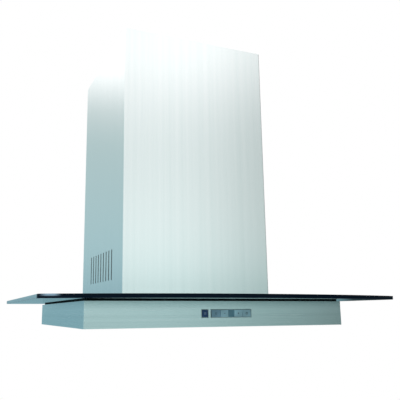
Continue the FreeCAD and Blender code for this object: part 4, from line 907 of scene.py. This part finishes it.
def crossed_screw(edit, x, y, z):
    """One screw pointing up from its face at height z."""
    face, face_edges = closed_ring(edit, circle_points(x, y, SCREW_FACE, SCREW_SEGMENTS), z)
    rings = [face]
    for radius, rise in SCREW_PROFILE:
        rings.append(closed_ring(edit, circle_points(x, y, radius, SCREW_SEGMENTS), z + rise)[0])
    skin(edit, rings)
    edit.faces.new(rings[-1])
    arm, half = RECESS_LENGTH, RECESS_WIDTH
    cross = [(arm, -half), (arm, half), (half, half), (half, arm),
             (-half, arm), (-half, half), (-arm, half), (-arm, -half),
             (-half, -half), (-half, -arm), (half, -arm), (half, -half)]
    cross = [(x + across, y + along) for across, along in cross]
    mouth, mouth_edges = closed_ring(edit, cross, z)
    bottom, bottom_edges = closed_ring(edit, cross, z + RECESS_DEPTH)
    skin(edit, [mouth, bottom], smooth=False)
    bmesh.ops.triangle_fill(edit, use_beauty=True, edges=face_edges + mouth_edges)
    bmesh.ops.triangle_fill(edit, use_beauty=True, edges=bottom_edges)


low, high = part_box("panel_screws")
rim = SCREW_PROFILE[1][0]
edit = bmesh.new()
for screw_x in (low[0] + rim, 0.0, high[0] - rim):
    for screw_y in (low[1] + rim, high[1] - rim):
        crossed_screw(edit, screw_x, screw_y, low[2])
panel_fixings = new_object("crossed_screws", finished_mesh(edit, "crossed_screws"), screw_zinc)
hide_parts("panel_screws")
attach(panel_fixings, "hood")


# ---------------------------------------------------------------- lamps
# Two recessed lamps near the front: a steel bezel, a frosted lens pressed with rings, and the
# sealed lamp behind it.

frosted_lens = moulded("frosted_lens", (0.85, 0.87, 0.85), 0.4, spread=0.04)
LENS_RIDGES = 11
LENS_RIDGE_HEIGHT = 0.0007
LENS_SEGMENTS = 64


def turned_mesh(name, centre, profile, segments):
    """A solid turned about a vertical line through centre, from its lower to its upper middle."""
    edit = bmesh.new()
    rings = [closed_ring(edit, circle_points(*centre, radius, segments), z)[0]
             for radius, z in profile]
    skin(edit, rings, smooth=False)
    edit.faces.new(list(reversed(rings[0])))
    edit.faces.new(rings[-1])
    return finished_mesh(edit, name)


for side in ("left", "right"):
    low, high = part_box("lamp_lens_" + side)
    outer = (high[0] - low[0]) / 2
    pitch = outer / (LENS_RIDGES + 0.5)
    profile = [(pitch / 2, low[2])]
    for ridge in range(LENS_RIDGES):
        profile += [(pitch * (ridge + 1), low[2] + LENS_RIDGE_HEIGHT),
                    (pitch * (ridge + 1.5), low[2])]
    profile += [(outer, high[2]), (pitch / 2, high[2])]
    centre = ((low[0] + high[0]) / 2, (low[1] + high[1]) / 2)
    lens_mesh = turned_mesh("pressed_lens", centre, profile, LENS_SEGMENTS)
    lens_glass = new_object("pressed_lens_" + side, lens_mesh, frosted_lens)
    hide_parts("lamp_lens_" + side)
    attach(lens_glass, "hood")
    dress("lamp_bezel_" + side, casing_steel)
    dress("lamp_body_" + side, black_plastic)
